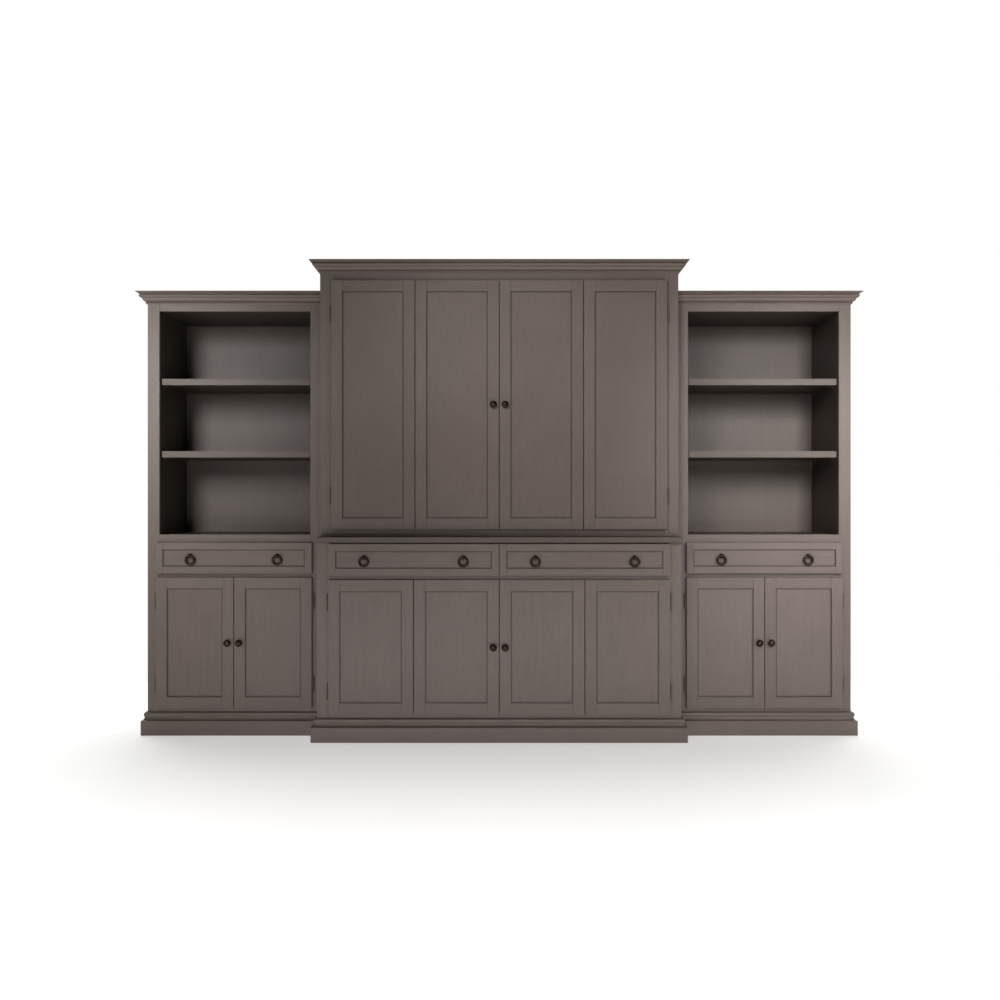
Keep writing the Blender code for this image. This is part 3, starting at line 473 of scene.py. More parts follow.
def finish_piece(name, mesh, finishes, body, stands_for=(), smooth=None):
    """Turns the mesh into a piece that rides on a body of the frame."""
    data = bpy.data.meshes.new(name)
    mesh.to_mesh(data)
    mesh.free()
    for finish in finishes:
        data.materials.append(finish)
    piece = bpy.data.objects.new(name, data)
    scene.collection.objects.link(piece)
    if smooth is not None:
        data.shade_smooth()
        data.set_sharp_from_angle(angle=math.radians(smooth))
        even = piece.modifiers.new("even_shading", "WEIGHTED_NORMAL")
        even.keep_sharp = True
    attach(piece, body)
    if stands_for:
        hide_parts(*stands_for)
    return piece


print("eased edges:", EASE, "m")


# %% Turned parts
WELD = 0.002 * MM


def in_mm(outline):
    return [(radius * MM, height * MM) for radius, height in outline]


def close_up(mesh, before):
    """Welds a spun shape to itself and turns its faces outwards."""
    made = [vert for vert in mesh.verts if vert not in before]
    bmesh.ops.remove_doubles(mesh, verts=made, dist=WELD)
    faces = {face for vert in mesh.verts if vert not in before for face in vert.link_faces}
    bmesh.ops.recalc_face_normals(mesh, faces=list(faces))


def add_turned(mesh, outline, foot, axis, steps=32):
    """Spins an outline of (radius, height) round an axis that starts at foot."""
    foot, axis = Vector(foot), Vector(axis)
    across = axis.orthogonal().normalized()
    before = set(mesh.verts)
    points = [mesh.verts.new(foot + across * radius + axis * height)
              for radius, height in outline]
    edges = [mesh.edges.new(pair) for pair in zip(points, points[1:])]
    bmesh.ops.spin(mesh, geom=points + edges, cent=foot, axis=axis, dvec=(0, 0, 0),
                   angle=2 * math.pi, steps=steps, use_merge=True, use_duplicate=False)
    close_up(mesh, before)


def add_rod(mesh, foot, axis, length, radius, ease=0.4 * MM, steps=20):
    """A round pin with eased ends."""
    outline = [(0, 0), (radius - ease, 0), (radius, ease), (radius, length - ease),
               (radius - ease, length), (0, length)]
    add_turned(mesh, outline, foot, axis, steps)


def add_hoop(mesh, centre, axis, radius, wire, steps=48, wire_steps=16):
    """A round wire bent into a closed hoop."""
    axis = Vector(axis)
    across = axis.orthogonal().normalized()
    before = set(mesh.verts)
    turn = Matrix((across, axis, across.cross(axis))).transposed().to_4x4()
    place = Matrix.Translation(Vector(centre) + across * radius) @ turn
    ring = bmesh.ops.create_circle(mesh, cap_ends=False, radius=wire, segments=wire_steps,
                                   matrix=place)
    edges = list({edge for vert in ring["verts"] for edge in vert.link_edges})
    bmesh.ops.spin(mesh, geom=ring["verts"] + edges, cent=centre, axis=axis, dvec=(0, 0, 0),
                   angle=2 * math.pi, steps=steps, use_merge=True, use_duplicate=False)
    close_up(mesh, before)


print("turned parts are welded within", WELD, "m")


# %% Mouldings run along a line
MOULDING_TONE = 0.4


def run_moulding(mesh, outline, bottom, stations, grains):
    """Extrudes an outline of (out, up) from station to station, mitred at each corner."""
    def at(station, point):
        (x, y), (out_x, out_y) = station
        return Vector((x + out_x * point[0], y + out_y * point[0], bottom + point[1]))
    tone_layer = mesh.verts.layers.float["board_tone"]
    loop = [mesh.verts.new(at(stations[0], point)) for point in outline]
    edges = [mesh.edges.new((loop[n - 1], loop[n])) for n in range(len(loop))]
    caps = [list(edges)]
    before = set(mesh.faces)
    for station, grain in zip(stations[1:], grains):
        faces_before = set(mesh.faces)
        made = bmesh.ops.extrude_edge_only(mesh, edges=edges)["geom"]
        fresh = {item for item in made if isinstance(item, bmesh.types.BMVert)}
        edges = [item for item in made if isinstance(item, bmesh.types.BMEdge)
                 and item.verts[0] in fresh and item.verts[1] in fresh]
        following = []
        for vert, point in zip(loop, outline):
            twin = next(edge.other_vert(vert) for edge in vert.link_edges
                        if edge.other_vert(vert) in fresh)
            twin.co = at(station, point)
            following.append(twin)
        loop = following
        for face in set(mesh.faces) - faces_before:
            face.material_index = grain
    caps.append(list(edges))
    for ring in caps:
        bmesh.ops.contextual_create(mesh, geom=ring)
    made = list(set(mesh.faces) - before)
    for face in made:
        for vert in face.verts:
            vert[tone_layer] = MOULDING_TONE
    bmesh.ops.recalc_face_normals(mesh, faces=made)


print("a moulding's tone is", MOULDING_TONE)

# %% [markdown]
# ## The cases
# A case is glued up from 19 mm boards: two sides, a bottom, a web between the doors and
# the drawers, a top, and a face frame of upright stiles and level rails in front. One
# solid lump would have no joint lines and only one grain direction. Each board is its
# own closed shape here, so a stile meets its rail at a fine line and the grain turns.


# %% Face frame
def add_face_frame(mesh, face, left, right, bottom, top, stiles, rails):
    """Two full-height stiles with level rails between them."""
    back = face + BOARD
    add_board(mesh, (left, face, bottom), (left + stiles[0], back, top), UPRIGHT)
    add_board(mesh, (right - stiles[1], face, bottom), (right, back, top), UPRIGHT)
    for low, high in rails:
        add_board(mesh, (left + stiles[0], face, low), (right - stiles[1], back, high), ACROSS)


# %% Hutch case
def make_hutch_case():
    left, right, top = -HALF_MIDDLE, HALF_MIDDLE, HUTCH_HIGH[2]
    bottom, inside = HUTCH_LOW[2], HUTCH_FACE + BOARD
    rear = BACK_Y - LAP
    mesh = new_mesh()
    add_face_frame(mesh, HUTCH_FACE, left, right, bottom, top, (STILE_MIDDLE, STILE_MIDDLE),
                   ((bottom, HUTCH_DOOR_LOW), (HUTCH_DOOR_HIGH, top)))
    frame_piece = finish_piece("hutch_frame_boards", mesh, STAIN, CASE,
                               ("hutch_face_frame",))
    mesh = new_mesh()
    for x in (left, right - BOARD):
        add_board(mesh, (x, inside, bottom), (x + BOARD, rear, top), UPRIGHT)
        lip = x if x < 0 else x + BOARD - BACK_LIP
        add_board(mesh, (lip, rear, bottom), (lip + BACK_LIP, BACK_Y, top), UPRIGHT)
    for low in (bottom, HUTCH_DOOR_HIGH + BOARD):
        add_board(mesh, (left + BOARD, inside, low), (right - BOARD, rear, low + BOARD), ACROSS)
    add_board(mesh, (left + BOARD, rear - BOARD, HUTCH_DOOR_HIGH + 2 * BOARD),
              (right - BOARD, rear, top), ACROSS)
    case_piece = finish_piece("hutch_case_boards", mesh, STAIN, CASE,
                              ("hutch_carcass",))
    return frame_piece, case_piece


print("hutch case:", [piece.name for piece in make_hutch_case()])


# %% Base case
def add_runner(mesh, near, far, front, back):
    """The rail that a drawer slide is screwed to."""
    middle = (DRAWER_LOW + DRAWER_HIGH) / 2
    low, high = middle - RUNNER_HEIGHT / 2, middle + RUNNER_HEIGHT / 2
    add_board(mesh, (near, front, low), (far, back, high), DEEP)


def make_base_case():
    left, right, top = -HALF_MIDDLE, HALF_MIDDLE, BASE_HIGH[2]
    inside, rear = BASE_FACE + BOARD, BACK_Y - LAP
    mesh = new_mesh()
    add_face_frame(mesh, BASE_FACE, left, right, 0.0, top, (STILE_MIDDLE, STILE_MIDDLE),
                   ((0.0, DOOR_LOW), (DOOR_HIGH, DRAWER_LOW), (DRAWER_HIGH, top)))
    add_board(mesh, (-MULLION / 2, BASE_FACE, DRAWER_LOW), (MULLION / 2, inside, DRAWER_HIGH),
              UPRIGHT)
    frame_piece = finish_piece("base_frame_boards", mesh, STAIN, CASE,
                               ("base_carcass",))
    mesh = new_mesh()
    for x in (left, right - BOARD):
        add_board(mesh, (x, inside, 0.0), (x + BOARD, rear, top), UPRIGHT)
        lip = x if x < 0 else x + BOARD - BACK_LIP
        add_board(mesh, (lip, rear, 0.0), (lip + BACK_LIP, BACK_Y, top), UPRIGHT)
    sub_top = (DRAWER_HIGH + top) / 2
    for low, high in ((DOOR_LOW - BOARD, DOOR_LOW), (WEB_TOP - BOARD, WEB_TOP), (sub_top, top)):
        add_board(mesh, (left + BOARD, inside, low), (right - BOARD, rear, high), ACROSS)
    add_board(mesh, (-BOARD / 2, inside + PARTITION_SETBACK, DOOR_LOW),
              (BOARD / 2, rear, WEB_TOP - BOARD), UPRIGHT)
    add_board(mesh, (-BOARD / 2, inside, WEB_TOP), (BOARD / 2, rear, sub_top), UPRIGHT)
    add_board(mesh, (left + BOARD, rear - BOARD, 0.0), (right - BOARD, rear, DOOR_LOW - BOARD),
              ACROSS)
    for _, sign in SIDES:
        for near, far in ((MIDDLE_OPENING, HALF_MIDDLE - BOARD), (BOARD / 2, MULLION / 2)):
            add_runner(mesh, sign * near, sign * far, inside, rear - BOARD)
    case_piece = finish_piece("base_case_boards", mesh, STAIN, CASE)
    return frame_piece, case_piece


print("base case:", [piece.name for piece in make_base_case()])


# %% Bookcase cases
def make_bookcase_case(side):
    name = side + "_bookcase"
    (left, face, _), (right, _, top) = box_of(name + "_carcass")
    inside = face + BOARD
    low_x, high_x = left + STILE_BOOKCASE, right - STILE_BOOKCASE
    mesh = new_mesh()
    add_face_frame(mesh, face, left, right, 0.0, top, (STILE_BOOKCASE, STILE_BOOKCASE),
                   ((0.0, DOOR_LOW), (DOOR_HIGH, DRAWER_LOW), (DRAWER_HIGH, BAY_FLOOR),
                    (BAY_TOP, top)))
    frame_piece = finish_piece(name + "_frame_boards", mesh, STAIN, CASE,
                               (name + "_carcass",))
    mesh = new_mesh()
    for x in (left, right - BOARD):
        add_board(mesh, (x, inside, 0.0), (x + BOARD, BACK_Y, top), UPRIGHT)
    # The bay's walls, floor and top carry the lining finish, painted dark as shade.
    for start, end in ((left + BOARD, low_x), (high_x, right - BOARD)):
        add_board(mesh, (start, inside, BAY_FLOOR - BOARD), (end, BAY_REAR, top),
                  LINING + UPRIGHT)
    for low, high in ((DOOR_LOW - BOARD, DOOR_LOW), (WEB_TOP - BOARD, WEB_TOP)):
        add_board(mesh, (left + BOARD, inside, low), (right - BOARD, BAY_REAR, high), ACROSS)
    for low, high in ((BAY_FLOOR - BOARD, BAY_FLOOR), (BAY_TOP, top)):
        add_board(mesh, (low_x, inside, low), (high_x, BAY_REAR, high), LINING + ACROSS)
    add_board(mesh, (left + BOARD, BAY_REAR - BOARD, 0.0),
              (right - BOARD, BAY_REAR, DOOR_LOW - BOARD), ACROSS)
    for wall, edge in ((left + BOARD, low_x), (right - BOARD, high_x)):
        add_runner(mesh, wall, edge, inside, BAY_REAR - BOARD)
    case_piece = finish_piece(name + "_case_boards", mesh, STAIN + BAY_LINING_PAINTED_SHADE, CASE)
    return frame_piece, case_piece


for side, _ in SIDES:
    print(side, "bookcase:", [piece.name for piece in make_bookcase_case(side)])

# %% [markdown]
# ## Boards that the frame already has right
# The counter top, the loose shelves and the back panels are plain boards in the frame,
# at their true size. They stay as they are and get their finish. A Bevel modifier breaks
# the sharp edges of the shelves as sandpaper would.

# %% Counter, shelves and backs
for name, item in frame["nodes"].items():
    if name.endswith("_back_panel"):
        grain = UPRIGHT
    elif name == "base_counter_top" or "shelf" in name:
        grain = ACROSS
    else:
        continue
    item.material_slots[0].material = THIN_STAIN_PAINTED_SHADE_BELOW[grain]
    if "shelf" in name:
        edge = item.modifiers.new("eased_edges", "BEVEL")
        edge.width = 1.5 * MM
        edge.segments = 2
    print("kept:", name)

# %% [markdown]
# ## Mouldings
# A crown is a long stick of timber that a cutter has shaped, from the bottom up: a bead,
# a hollow, a fat round and a fascia that leans out. It is mitred at the corners and
# returns to the wall. Its outline is drawn once, with real arcs, and run round each
# cabinet. The plinth is a plain board with a cove and a round-nosed cap, run likewise.


# %% Outlines of the crown and the plinth
def arc(centre, radius, start, end, steps):
    """Points on an arc, in degrees, of one radius or of two for an ellipse."""
    wide, tall = radius
    turns = [math.radians(start + (end - start) * n / steps) for n in range(steps + 1)]
    return [(centre[0] + wide * math.cos(t), centre[1] + tall * math.sin(t)) for t in turns]


def crown_outline(height, reach):
    """Bead, hollow, round and fascia, as (out, up) from the foot of the crown."""
    bead = 4.2 * MM
    points = [(0.3 * MM, 0.0), (1.2 * MM, 0.0), (1.2 * MM, 2.0 * MM)]
    points += arc((3.0 * MM, 6.4 * MM), (bead, bead), -80, 80, 10)
    points += arc((4.0 * MM, 25.0 * MM), (15.0 * MM, 13.2 * MM), -80, 0, 8)
    points += [(19.0 * MM, 27.0 * MM), (21.0 * MM, 27.5 * MM)]
    points += arc((20.0 * MM, 36.5 * MM), (10.5 * MM, 9.0 * MM), -70, 65, 12)
    points += [(24.4 * MM, 47.0 * MM), (reach - 7.5 * MM, 48.5 * MM),
               (reach - 6.5 * MM, 50.0 * MM), (reach, height - 1.5 * MM),
               (reach - 0.5 * MM, height), (0.3 * MM, height)]
    return points


def plinth_outline(height, reach):
    """Board, cove and round-nosed cap, as (out, up) from the floor."""
    ease, board_top, cap_reach = 2.0 * MM, 67.0 * MM, 13.4 * MM
    points = [(0.3 * MM, 0.0), (reach, 0.0)]
    points += arc((reach - ease, board_top - ease), (ease, ease), 0, 70, 4)
    foot, head = (reach - ease, board_top), (cap_reach - 3.5 * MM, 82.0 * MM)
    for share in [step / 8 for step in range(9)]:
        sag = 2.0 * MM * math.sin(math.pi * share)
        points.append([a + (b - a) * share - sag for a, b in zip(foot, head)])
    points += arc((cap_reach - 3.5 * MM, 93.0 * MM), (3.5 * MM, 9.0 * MM), -85, 65, 10)
    points += [(3.0 * MM, height), (0.3 * MM, height)]
    return points


# %% Crowns and plinths
def round_the_middle(face, rear):
    """Each corner of a run round the middle cabinet, and which way its mitre points."""
    return [((-HALF_MIDDLE, rear), (-1, 0)), ((-HALF_MIDDLE, face), (-1, -1)),
            ((HALF_MIDDLE, face), (1, -1)), ((HALF_MIDDLE, rear), (1, 0))]


def make_mouldings():
    made = []
    crown_low, crown_high = box_of("hutch_crown")
    crown = crown_outline(crown_high[2] - crown_low[2], crown_high[0] - HALF_MIDDLE)
    plinth_high = box_of("base_plinth")[1]
    plinth = plinth_outline(plinth_high[2], plinth_high[0] - HALF_MIDDLE)
    runs = [("hutch_crown", crown, crown_low[2], round_the_middle(HUTCH_FACE, BACK_Y)),
            ("base_plinth", plinth, 0.0, round_the_middle(BASE_FACE, plinth_high[1]))]
    for side, sign in SIDES:
        low, high = box_of(side + "_bookcase_carcass")
        outer, inner = (low[0], high[0]) if sign < 0 else (high[0], low[0])
        stations = [((outer, BACK_Y), (sign, 0)), ((outer, BOOKCASE_FACE), (sign, -1)),
                    ((inner, BOOKCASE_FACE), (0, -1))]
        bottom = box_of(side + "_bookcase_crown")[0][2]
        runs.append((side + "_bookcase_crown", crown, bottom, stations))
        runs.append((side + "_bookcase_plinth", plinth, 0.0, stations))
    for name, outline, bottom, stations in runs:
        mesh = new_mesh()
        grains = [DEEP if a[0][0] == b[0][0] else ACROSS for a, b in zip(stations, stations[1:])]
        run_moulding(mesh, outline, bottom, stations, grains)
        made.append(finish_piece(name + "_moulding", mesh, MOULDING_STAIN, CASE,
                                 (name,), smooth=28))
    return made


LID = 12 * MM
LID_STEP = 1.2 * MM         # from the crown's top edge down to its lid


def make_crown_lids():
    """The thin dust boards that close the tops, just under the edge of each crown."""
    made = []
    for name in ("hutch", "left_bookcase", "right_bookcase"):
        low, high = box_of(name + "_carcass")
        face = HUTCH_FACE if name == "hutch" else BOOKCASE_FACE
        top = box_of(name + "_crown")[1][2] - LID_STEP
        mesh = new_mesh()
        add_board(mesh, (low[0], face, top - LID), (high[0], high[1] - LID_STEP, top), ACROSS)
        made.append(finish_piece(name + "_dust_board", mesh, STAIN, CASE))
    return made


print("mouldings:", [piece.name for piece in make_mouldings() + make_crown_lids()])

# %% [markdown]
# ## Doors and drawer fronts
# Each leaf is a frame and panel: two stiles that run the full height, two rails between
# them, and a flat panel that floats in a groove, 6 mm back from both faces. The stiles
# and rails are separate boards, so the light catches the joint and the grain turns where
# it should. A drawer front is the same with narrower members.

# %% Frame-and-panel leaf
PANEL_GROOVE = 4.0 * MM     # how far the panel reaches into its frame


def make_leaf(name, low, high, stile, body, stands_for, panel_grain):
    """A frame of four boards, and the panel inside it."""
    left, front, bottom = low
    right, back, top = high
    mesh = new_mesh()
    add_board(mesh, (left, front, bottom), (left + stile, back, top), UPRIGHT)
    add_board(mesh, (right - stile, front, bottom), (right, back, top), UPRIGHT)
    add_board(mesh, (left + stile, front, bottom), (right - stile, back, bottom + stile), ACROSS)
    add_board(mesh, (left + stile, front, top - stile), (right - stile, back, top), ACROSS)
    leaf = finish_piece(name + "_frame", mesh, STAIN, body, (stands_for,))
    mesh = new_mesh()
    reach = stile - PANEL_GROOVE
    add_panel_with_painted_shade(mesh, (left + reach, front + PANEL_RECESS, bottom + reach),
                     (right - reach, back - PANEL_RECESS, top - reach), panel_grain,
                     PANEL_GROOVE - FINE_EASE)
    panel = finish_piece(name + "_panel", mesh, STAIN, body)
    return leaf, panel


def leaf_box(name):
    """The leaf itself, without the hinge barrels that stand off its edge."""
    low, high = box_of(name)
    hinge = HINGES[name]
    if hinge["parent"] == CASE:
        if hinge["pos_m"][0] > (low[0] + high[0]) / 2:
            high[0] -= BARREL_REACH
        else:
            low[0] += BARREL_REACH
    return low, high


DOORS = sorted(name for name in frame["nodes"] if name.endswith("_door"))
for name in DOORS:
    door_low, door_high = leaf_box(name)
    make_leaf(name, door_low, door_high, DOOR_STILE, name, name, UPRIGHT)
print("doors:", len(DOORS))

# %% [markdown]
# ## Hinges
# The outer leaves hang on loose-pin hinges whose barrels show beside the door's edge. A
# barrel is five knuckles on one pin, with a small ball at each end. Knuckles one, three
# and five belong to the cabinet and two and four to the door, so they part as it swings.

# %% Barrels beside the doors
BARREL_RADIUS = 4.0 * MM
BARREL_LENGTH = 66.0 * MM
KNUCKLES = 5
HINGE_INSET = {"hutch": 0.150, "base": 0.100, "left": 0.108, "right": 0.108}
KNUCKLE_GAP = 0.35 * MM
FINIAL = [(0, 0), (2.0, 0), (2.0, 0.8)] + [
    (2.8 * math.cos(math.radians(turn)), 3.0 + 2.8 * math.sin(math.radians(turn)))
    for turn in range(-30, 90, 20)] + [(0, 5.8)]
PLATE_HALF = 26 * MM        # half the height of a hinge's plates
PLATE = 1.4 * MM
CASE_PLATE_REACH = 22 * MM


def make_hinges(name):
    """The case's and the door's share of the two hinges that one door hangs on."""
    low, high = leaf_box(name)
    x, y = HINGES[name]["pos_m"][:2]
    inset = HINGE_INSET[name.split("_")[0]]
    toward = -1 if x > (low[0] + high[0]) / 2 else 1
    edge = x + toward * (BARREL_REACH - BARREL_RADIUS)
    on_case, on_door = new_mesh(), new_mesh()
    length = BARREL_LENGTH / KNUCKLES
    for middle in (low[2] + inset, high[2] - inset):
        foot = middle - BARREL_LENGTH / 2
        for knuckle in range(KNUCKLES):
            mesh = on_door if knuckle % 2 else on_case
            add_rod(mesh, (x, y, foot + knuckle * length + KNUCKLE_GAP / 2), (0, 0, 1),
                    length - KNUCKLE_GAP, BARREL_RADIUS)
        for end, way in ((foot, -1), (foot + BARREL_LENGTH, 1)):
            add_turned(on_case, in_mm(FINIAL), (x, y, end), (0, 0, way), 20)
        low_z, high_z = middle - PLATE_HALF, middle + PLATE_HALF
        add_board(on_door, (x, y - PLATE / 2, low_z),
                  (edge + toward * 0.4 * MM, y + PLATE / 2, high_z), 0, PLATE_EASE)
        face = high[1] + DOOR_GAP
        add_board(on_case, (x - toward * 1.0 * MM, y, low_z),
                  (x + toward * 0.6 * MM, face - 0.1 * MM, high_z), 0, PLATE_EASE)
        add_board(on_case, (x, face - 1.5 * MM, low_z),
                  (x + toward * CASE_PLATE_REACH, face - 0.2 * MM, high_z), 0, PLATE_EASE)
    finish_piece(name + "_hinge_knuckles", on_door, [HINGE_PAINT], name, smooth=40)
    finish_piece(name + "_hinge_barrels", on_case, [HINGE_PAINT], CASE, smooth=40)


for name in DOORS:
    if HINGES[name]["parent"] == CASE:
        make_hinges(name)
print("hinged on the case:", sum(HINGES[name]["parent"] == CASE for name in DOORS))

# %% [markdown]
# Between the two leaves of a folding pair sit butt hinges on the back faces, out of
# sight when the doors are closed. Their barrels lie on the fold's axis. Each leaf of a
# hinge is a thin plate with countersunk screws.

# %% Seam hinges
SEAM_BARREL = 2.4 * MM
SEAM_LENGTH = 60 * MM
SEAM_PLATE = 18 * MM
SEAM_END = 0.15             # the outer hinges' distance from a leaf's ends, as a share
SCREW_SPACING = 20 * MM


def add_screw_head(mesh, centre, axis, radius=3.2 * MM):
    """A low countersunk head, with the recess that a driver fits."""
    outline = [(0, 0.1 * MM), (radius * 0.35, 0.1 * MM), (radius * 0.45, 0.5 * MM),
               (radius * 0.9, 0.45 * MM), (radius, 0), (radius, -0.5 * MM), (0, -0.5 * MM)]
    add_turned(mesh, outline, centre, axis, 12)


def make_seam_hinges(inner):
    """Three butt hinges: the middle knuckle and one plate ride on the inner leaf."""
    outer = HINGES[inner]["parent"]
    x, y = HINGES[inner]["pos_m"][:2]
    low, high = box_of(inner)
    toward = -1 if x > 0 else 1
    height = high[2] - low[2]
    back = high[1]
    shares = {inner: (new_mesh(), toward), outer: (new_mesh(), -toward)}
    for middle in (low[2] + height * SEAM_END, low[2] + height / 2, high[2] - height * SEAM_END):
        for knuckle in range(3):
            mesh = shares[inner if knuckle == 1 else outer][0]
            length = SEAM_LENGTH / 3
            foot = (x, y, middle - SEAM_LENGTH / 2 + knuckle * length + KNUCKLE_GAP / 2)
            add_rod(mesh, foot, (0, 0, 1), length - KNUCKLE_GAP, SEAM_BARREL, steps=16)
        for mesh, way in shares.values():
            start = x + way * (SEAM_BARREL + 0.2 * MM)
            add_board(mesh, (start, back + 0.1 * MM, middle - SEAM_LENGTH / 2),
                      (x + way * SEAM_PLATE, back + 1.3 * MM, middle + SEAM_LENGTH / 2), 0,
                      PLATE_EASE)
            for up in (-SCREW_SPACING, 0, SCREW_SPACING):
                add_screw_head(mesh, (x + way * SEAM_PLATE * 0.62, back + 1.2 * MM, middle + up),
                               (0, 1, 0))
    for leaf, (mesh, _) in shares.items():
        finish_piece(leaf + "_seam_hinges", mesh, [BRONZE], leaf, smooth=40)


FOLDING = [name for name in DOORS if HINGES[name]["parent"] != CASE]
for name in FOLDING:
    make_seam_hinges(name)
print("folding pairs:", len(FOLDING))

# %% [markdown]
# ## Knobs and rings
# The knobs are turned mushrooms on a flared foot. The outline is spun in 40 steps, which
# is round even close up. Each drawer has two ring pulls: a domed rosette, a stem, an open
# eye at its end, and a heavy ring that hangs in the eye and swings on its own joint.

# %% Knobs
KNOB = [(0, 28), (4, 27.8), (8, 27.1), (11.5, 25.6), (14.2, 23.2), (15.7, 20.6), (16, 18.8),
        (15.4, 17.2), (13.2, 15.4), (9.6, 13.6), (7.0, 11.6), (5.9, 9.2), (5.8, 6.8),
        (6.4, 4.8), (7.9, 3.2), (9.3, 2.4), (9.8, 1.6), (9.8, 0.4), (9.4, 0), (0, 0)]


def make_knob(name, body):
    low, high = box_of(name)
    foot = ((low[0] + high[0]) / 2, high[1], (low[2] + high[2]) / 2)
    mesh = new_mesh()
    add_turned(mesh, in_mm(KNOB), foot, (0, -1, 0), 40)
    return finish_piece(name + "_turned", mesh, [BRONZE], body, (name,), smooth=50)


for name in sorted(frame["nodes"]):
    if name.endswith("_knob"):
        stem = name.removesuffix("_knob")
        owner = stem + "_door" if "bookcase" in stem else stem + "_inner_door"
        print("knob:", make_knob(name, owner).name)

# %% Drawer fronts, posts and rings
DRAWERS = sorted(name.removesuffix("_front") for name in frame["nodes"]
                 if name.endswith("_drawer_front"))
RING_WIRE = 5.5 * MM
RING_RADIUS = 19 * MM
FRONT_THICKNESS = 0.019
ROSETTE = [(0, 0), (9.5, 0), (9.5, 0.9), (8.8, 1.6), (7.2, 2.2), (5.6, 3.4), (4.6, 5.0)]
STEM_RADIUS = 4.3           # mm, as the outlines are
STEM_STOP = 8.0             # from the stem's end to the ring's axis
EYE = [(7.4, -3.6), (8.8, -4.8), (9.7, -3.0), (10.0, 0.0), (9.7, 3.0), (8.8, 4.8),
       (7.4, 3.6), (7.4, -3.6)]


def make_ring_pull(drawer, label, panel_y):
    """The post that rides with its drawer, and the ring with a joint of its own."""
    name = drawer + "_" + label + "_ring"
    x, y, z = HINGES[name]["pos_m"]
    mesh = new_mesh()
    stem_end = (panel_y - y) / MM - STEM_STOP
    post_outline = ROSETTE + [(STEM_RADIUS, stem_end), (0, stem_end)]
    add_turned(mesh, in_mm(post_outline), (x, panel_y, z), (0, -1, 0), 32)
    add_turned(mesh, in_mm(EYE), (x, y, z), (1, 0, 0), 32)
    post = finish_piece(drawer + "_" + label + "_post", mesh, [BRONZE], drawer,
                        smooth=45)
    mesh = new_mesh()
    add_hoop(mesh, (x, y, z - RING_RADIUS), (0, 1, 0), RING_RADIUS, RING_WIRE)
    ring = finish_piece(name + "_turned", mesh, [BRONZE], name, (name,),
                        smooth=60)
    return post, ring


for drawer in DRAWERS:
    front_low, front_high = box_of(drawer + "_front")
    front_low[1] = front_high[1] - FRONT_THICKNESS
    make_leaf(drawer + "_front", front_low, front_high, DRAWER_STILE, drawer,
              drawer + "_front", ACROSS)
    for label in ("left", "right"):
        make_ring_pull(drawer, label, front_low[1] + PANEL_RECESS)
    print("drawer front:", drawer)

# %% [markdown]
# ## Drawer boxes and slides
# Behind each front is a lacquered maple box on a pair of steel slides. The box is four
# boards round a thin bottom. A slide has a channel screwed to the runner in the cabinet
# and a narrower one screwed to the box, which telescopes out of it.

# %% Drawer boxes
BOX_WALL = 12 * MM
BOX_BOTTOM = (2.0 * MM, 8.8 * MM)   # under and upper side of the thin bottom


def make_drawer_box(drawer):
    name = drawer + "_box"
    (left, front, bottom), (right, back, top) = box_of(name)
    mesh = new_mesh()
    for x in (left, right - BOX_WALL):
        add_board(mesh, (x, front, bottom), (x + BOX_WALL, back, top), DEEP)
    for y in (front, back - BOX_WALL):
        add_board(mesh, (left + BOX_WALL, y, bottom), (right - BOX_WALL, y + BOX_WALL, top), ACROSS)
    add_board(mesh, (left + BOX_WALL, front + BOX_WALL, bottom + BOX_BOTTOM[0]),
              (right - BOX_WALL, back - BOX_WALL, bottom + BOX_BOTTOM[1]), ACROSS, PLATE_EASE)
    return finish_piece(name + "_boards", mesh, MAPLE, drawer, (name,))


print("box walls:", BOX_WALL, "m")


# %% Slides
GAUGE = 1.2 * MM
SLIDE_HEIGHT = 34 * MM
RUNNER_INSET = 4 * MM       # how much less than the channel the runner reaches up and down


def add_channel(mesh, web_x, open_x, start, end, middle, height):
    """A folded steel channel that runs from front to back."""
    low, high = middle - height / 2, middle + height / 2
    web_end = web_x + (GAUGE if open_x > web_x else -GAUGE)
    add_board(mesh, (web_x, start, low), (web_end, end, high), 0, PLATE_EASE)
    for lip in (low, high - GAUGE):
        add_board(mesh, (web_end, start, lip), (open_x, end, lip + GAUGE), 0, PLATE_EASE)


def make_slides(drawer):
    """A channel on the runner in the case and a narrower one on the box, at each side."""
    (left, front, _), (right, back, _) = box_of(drawer + "_box")
    middle = (DRAWER_LOW + DRAWER_HIGH) / 2
    on_case, on_box = new_mesh(), new_mesh()
    for edge, way in ((left, -1), (right, 1)):
        case_web = edge + way * 12.8 * MM
        add_channel(on_case, case_web, edge + way * 3.0 * MM, front + 24 * MM, back - 4 * MM,
                    middle, SLIDE_HEIGHT)
        box_web = edge + way * 0.2 * MM
        add_channel(on_box, box_web, edge + way * 9.5 * MM, front + 3 * MM, back - 12 * MM,
                    middle, SLIDE_HEIGHT - 2 * RUNNER_INSET)
        for share in (0.15, 0.5, 0.85):
            y = front + (back - front) * share
            add_screw_head(on_box, (box_web + way * GAUGE, y, middle), (way, 0, 0))
            add_screw_head(on_case, (case_web - way * GAUGE, y, middle), (-way, 0, 0))
    finish_piece(drawer + "_slide_channels", on_case, [ZINC], CASE, smooth=40)
    finish_piece(drawer + "_slide_runners", on_box, [ZINC], drawer, smooth=40)


for drawer in DRAWERS:
    make_drawer_box(drawer)
    make_slides(drawer)
print("drawers:", DRAWERS)

# %% [markdown]
# ## Small fittings
# Shelf pins hold the loose shelves, clear bumpers keep each door 2 mm off the frame,
# screws fix the backs, and nylon grommets line the cable cut-outs. They hardly show, yet
# a cabinet looks unfinished without them once its doors are open.

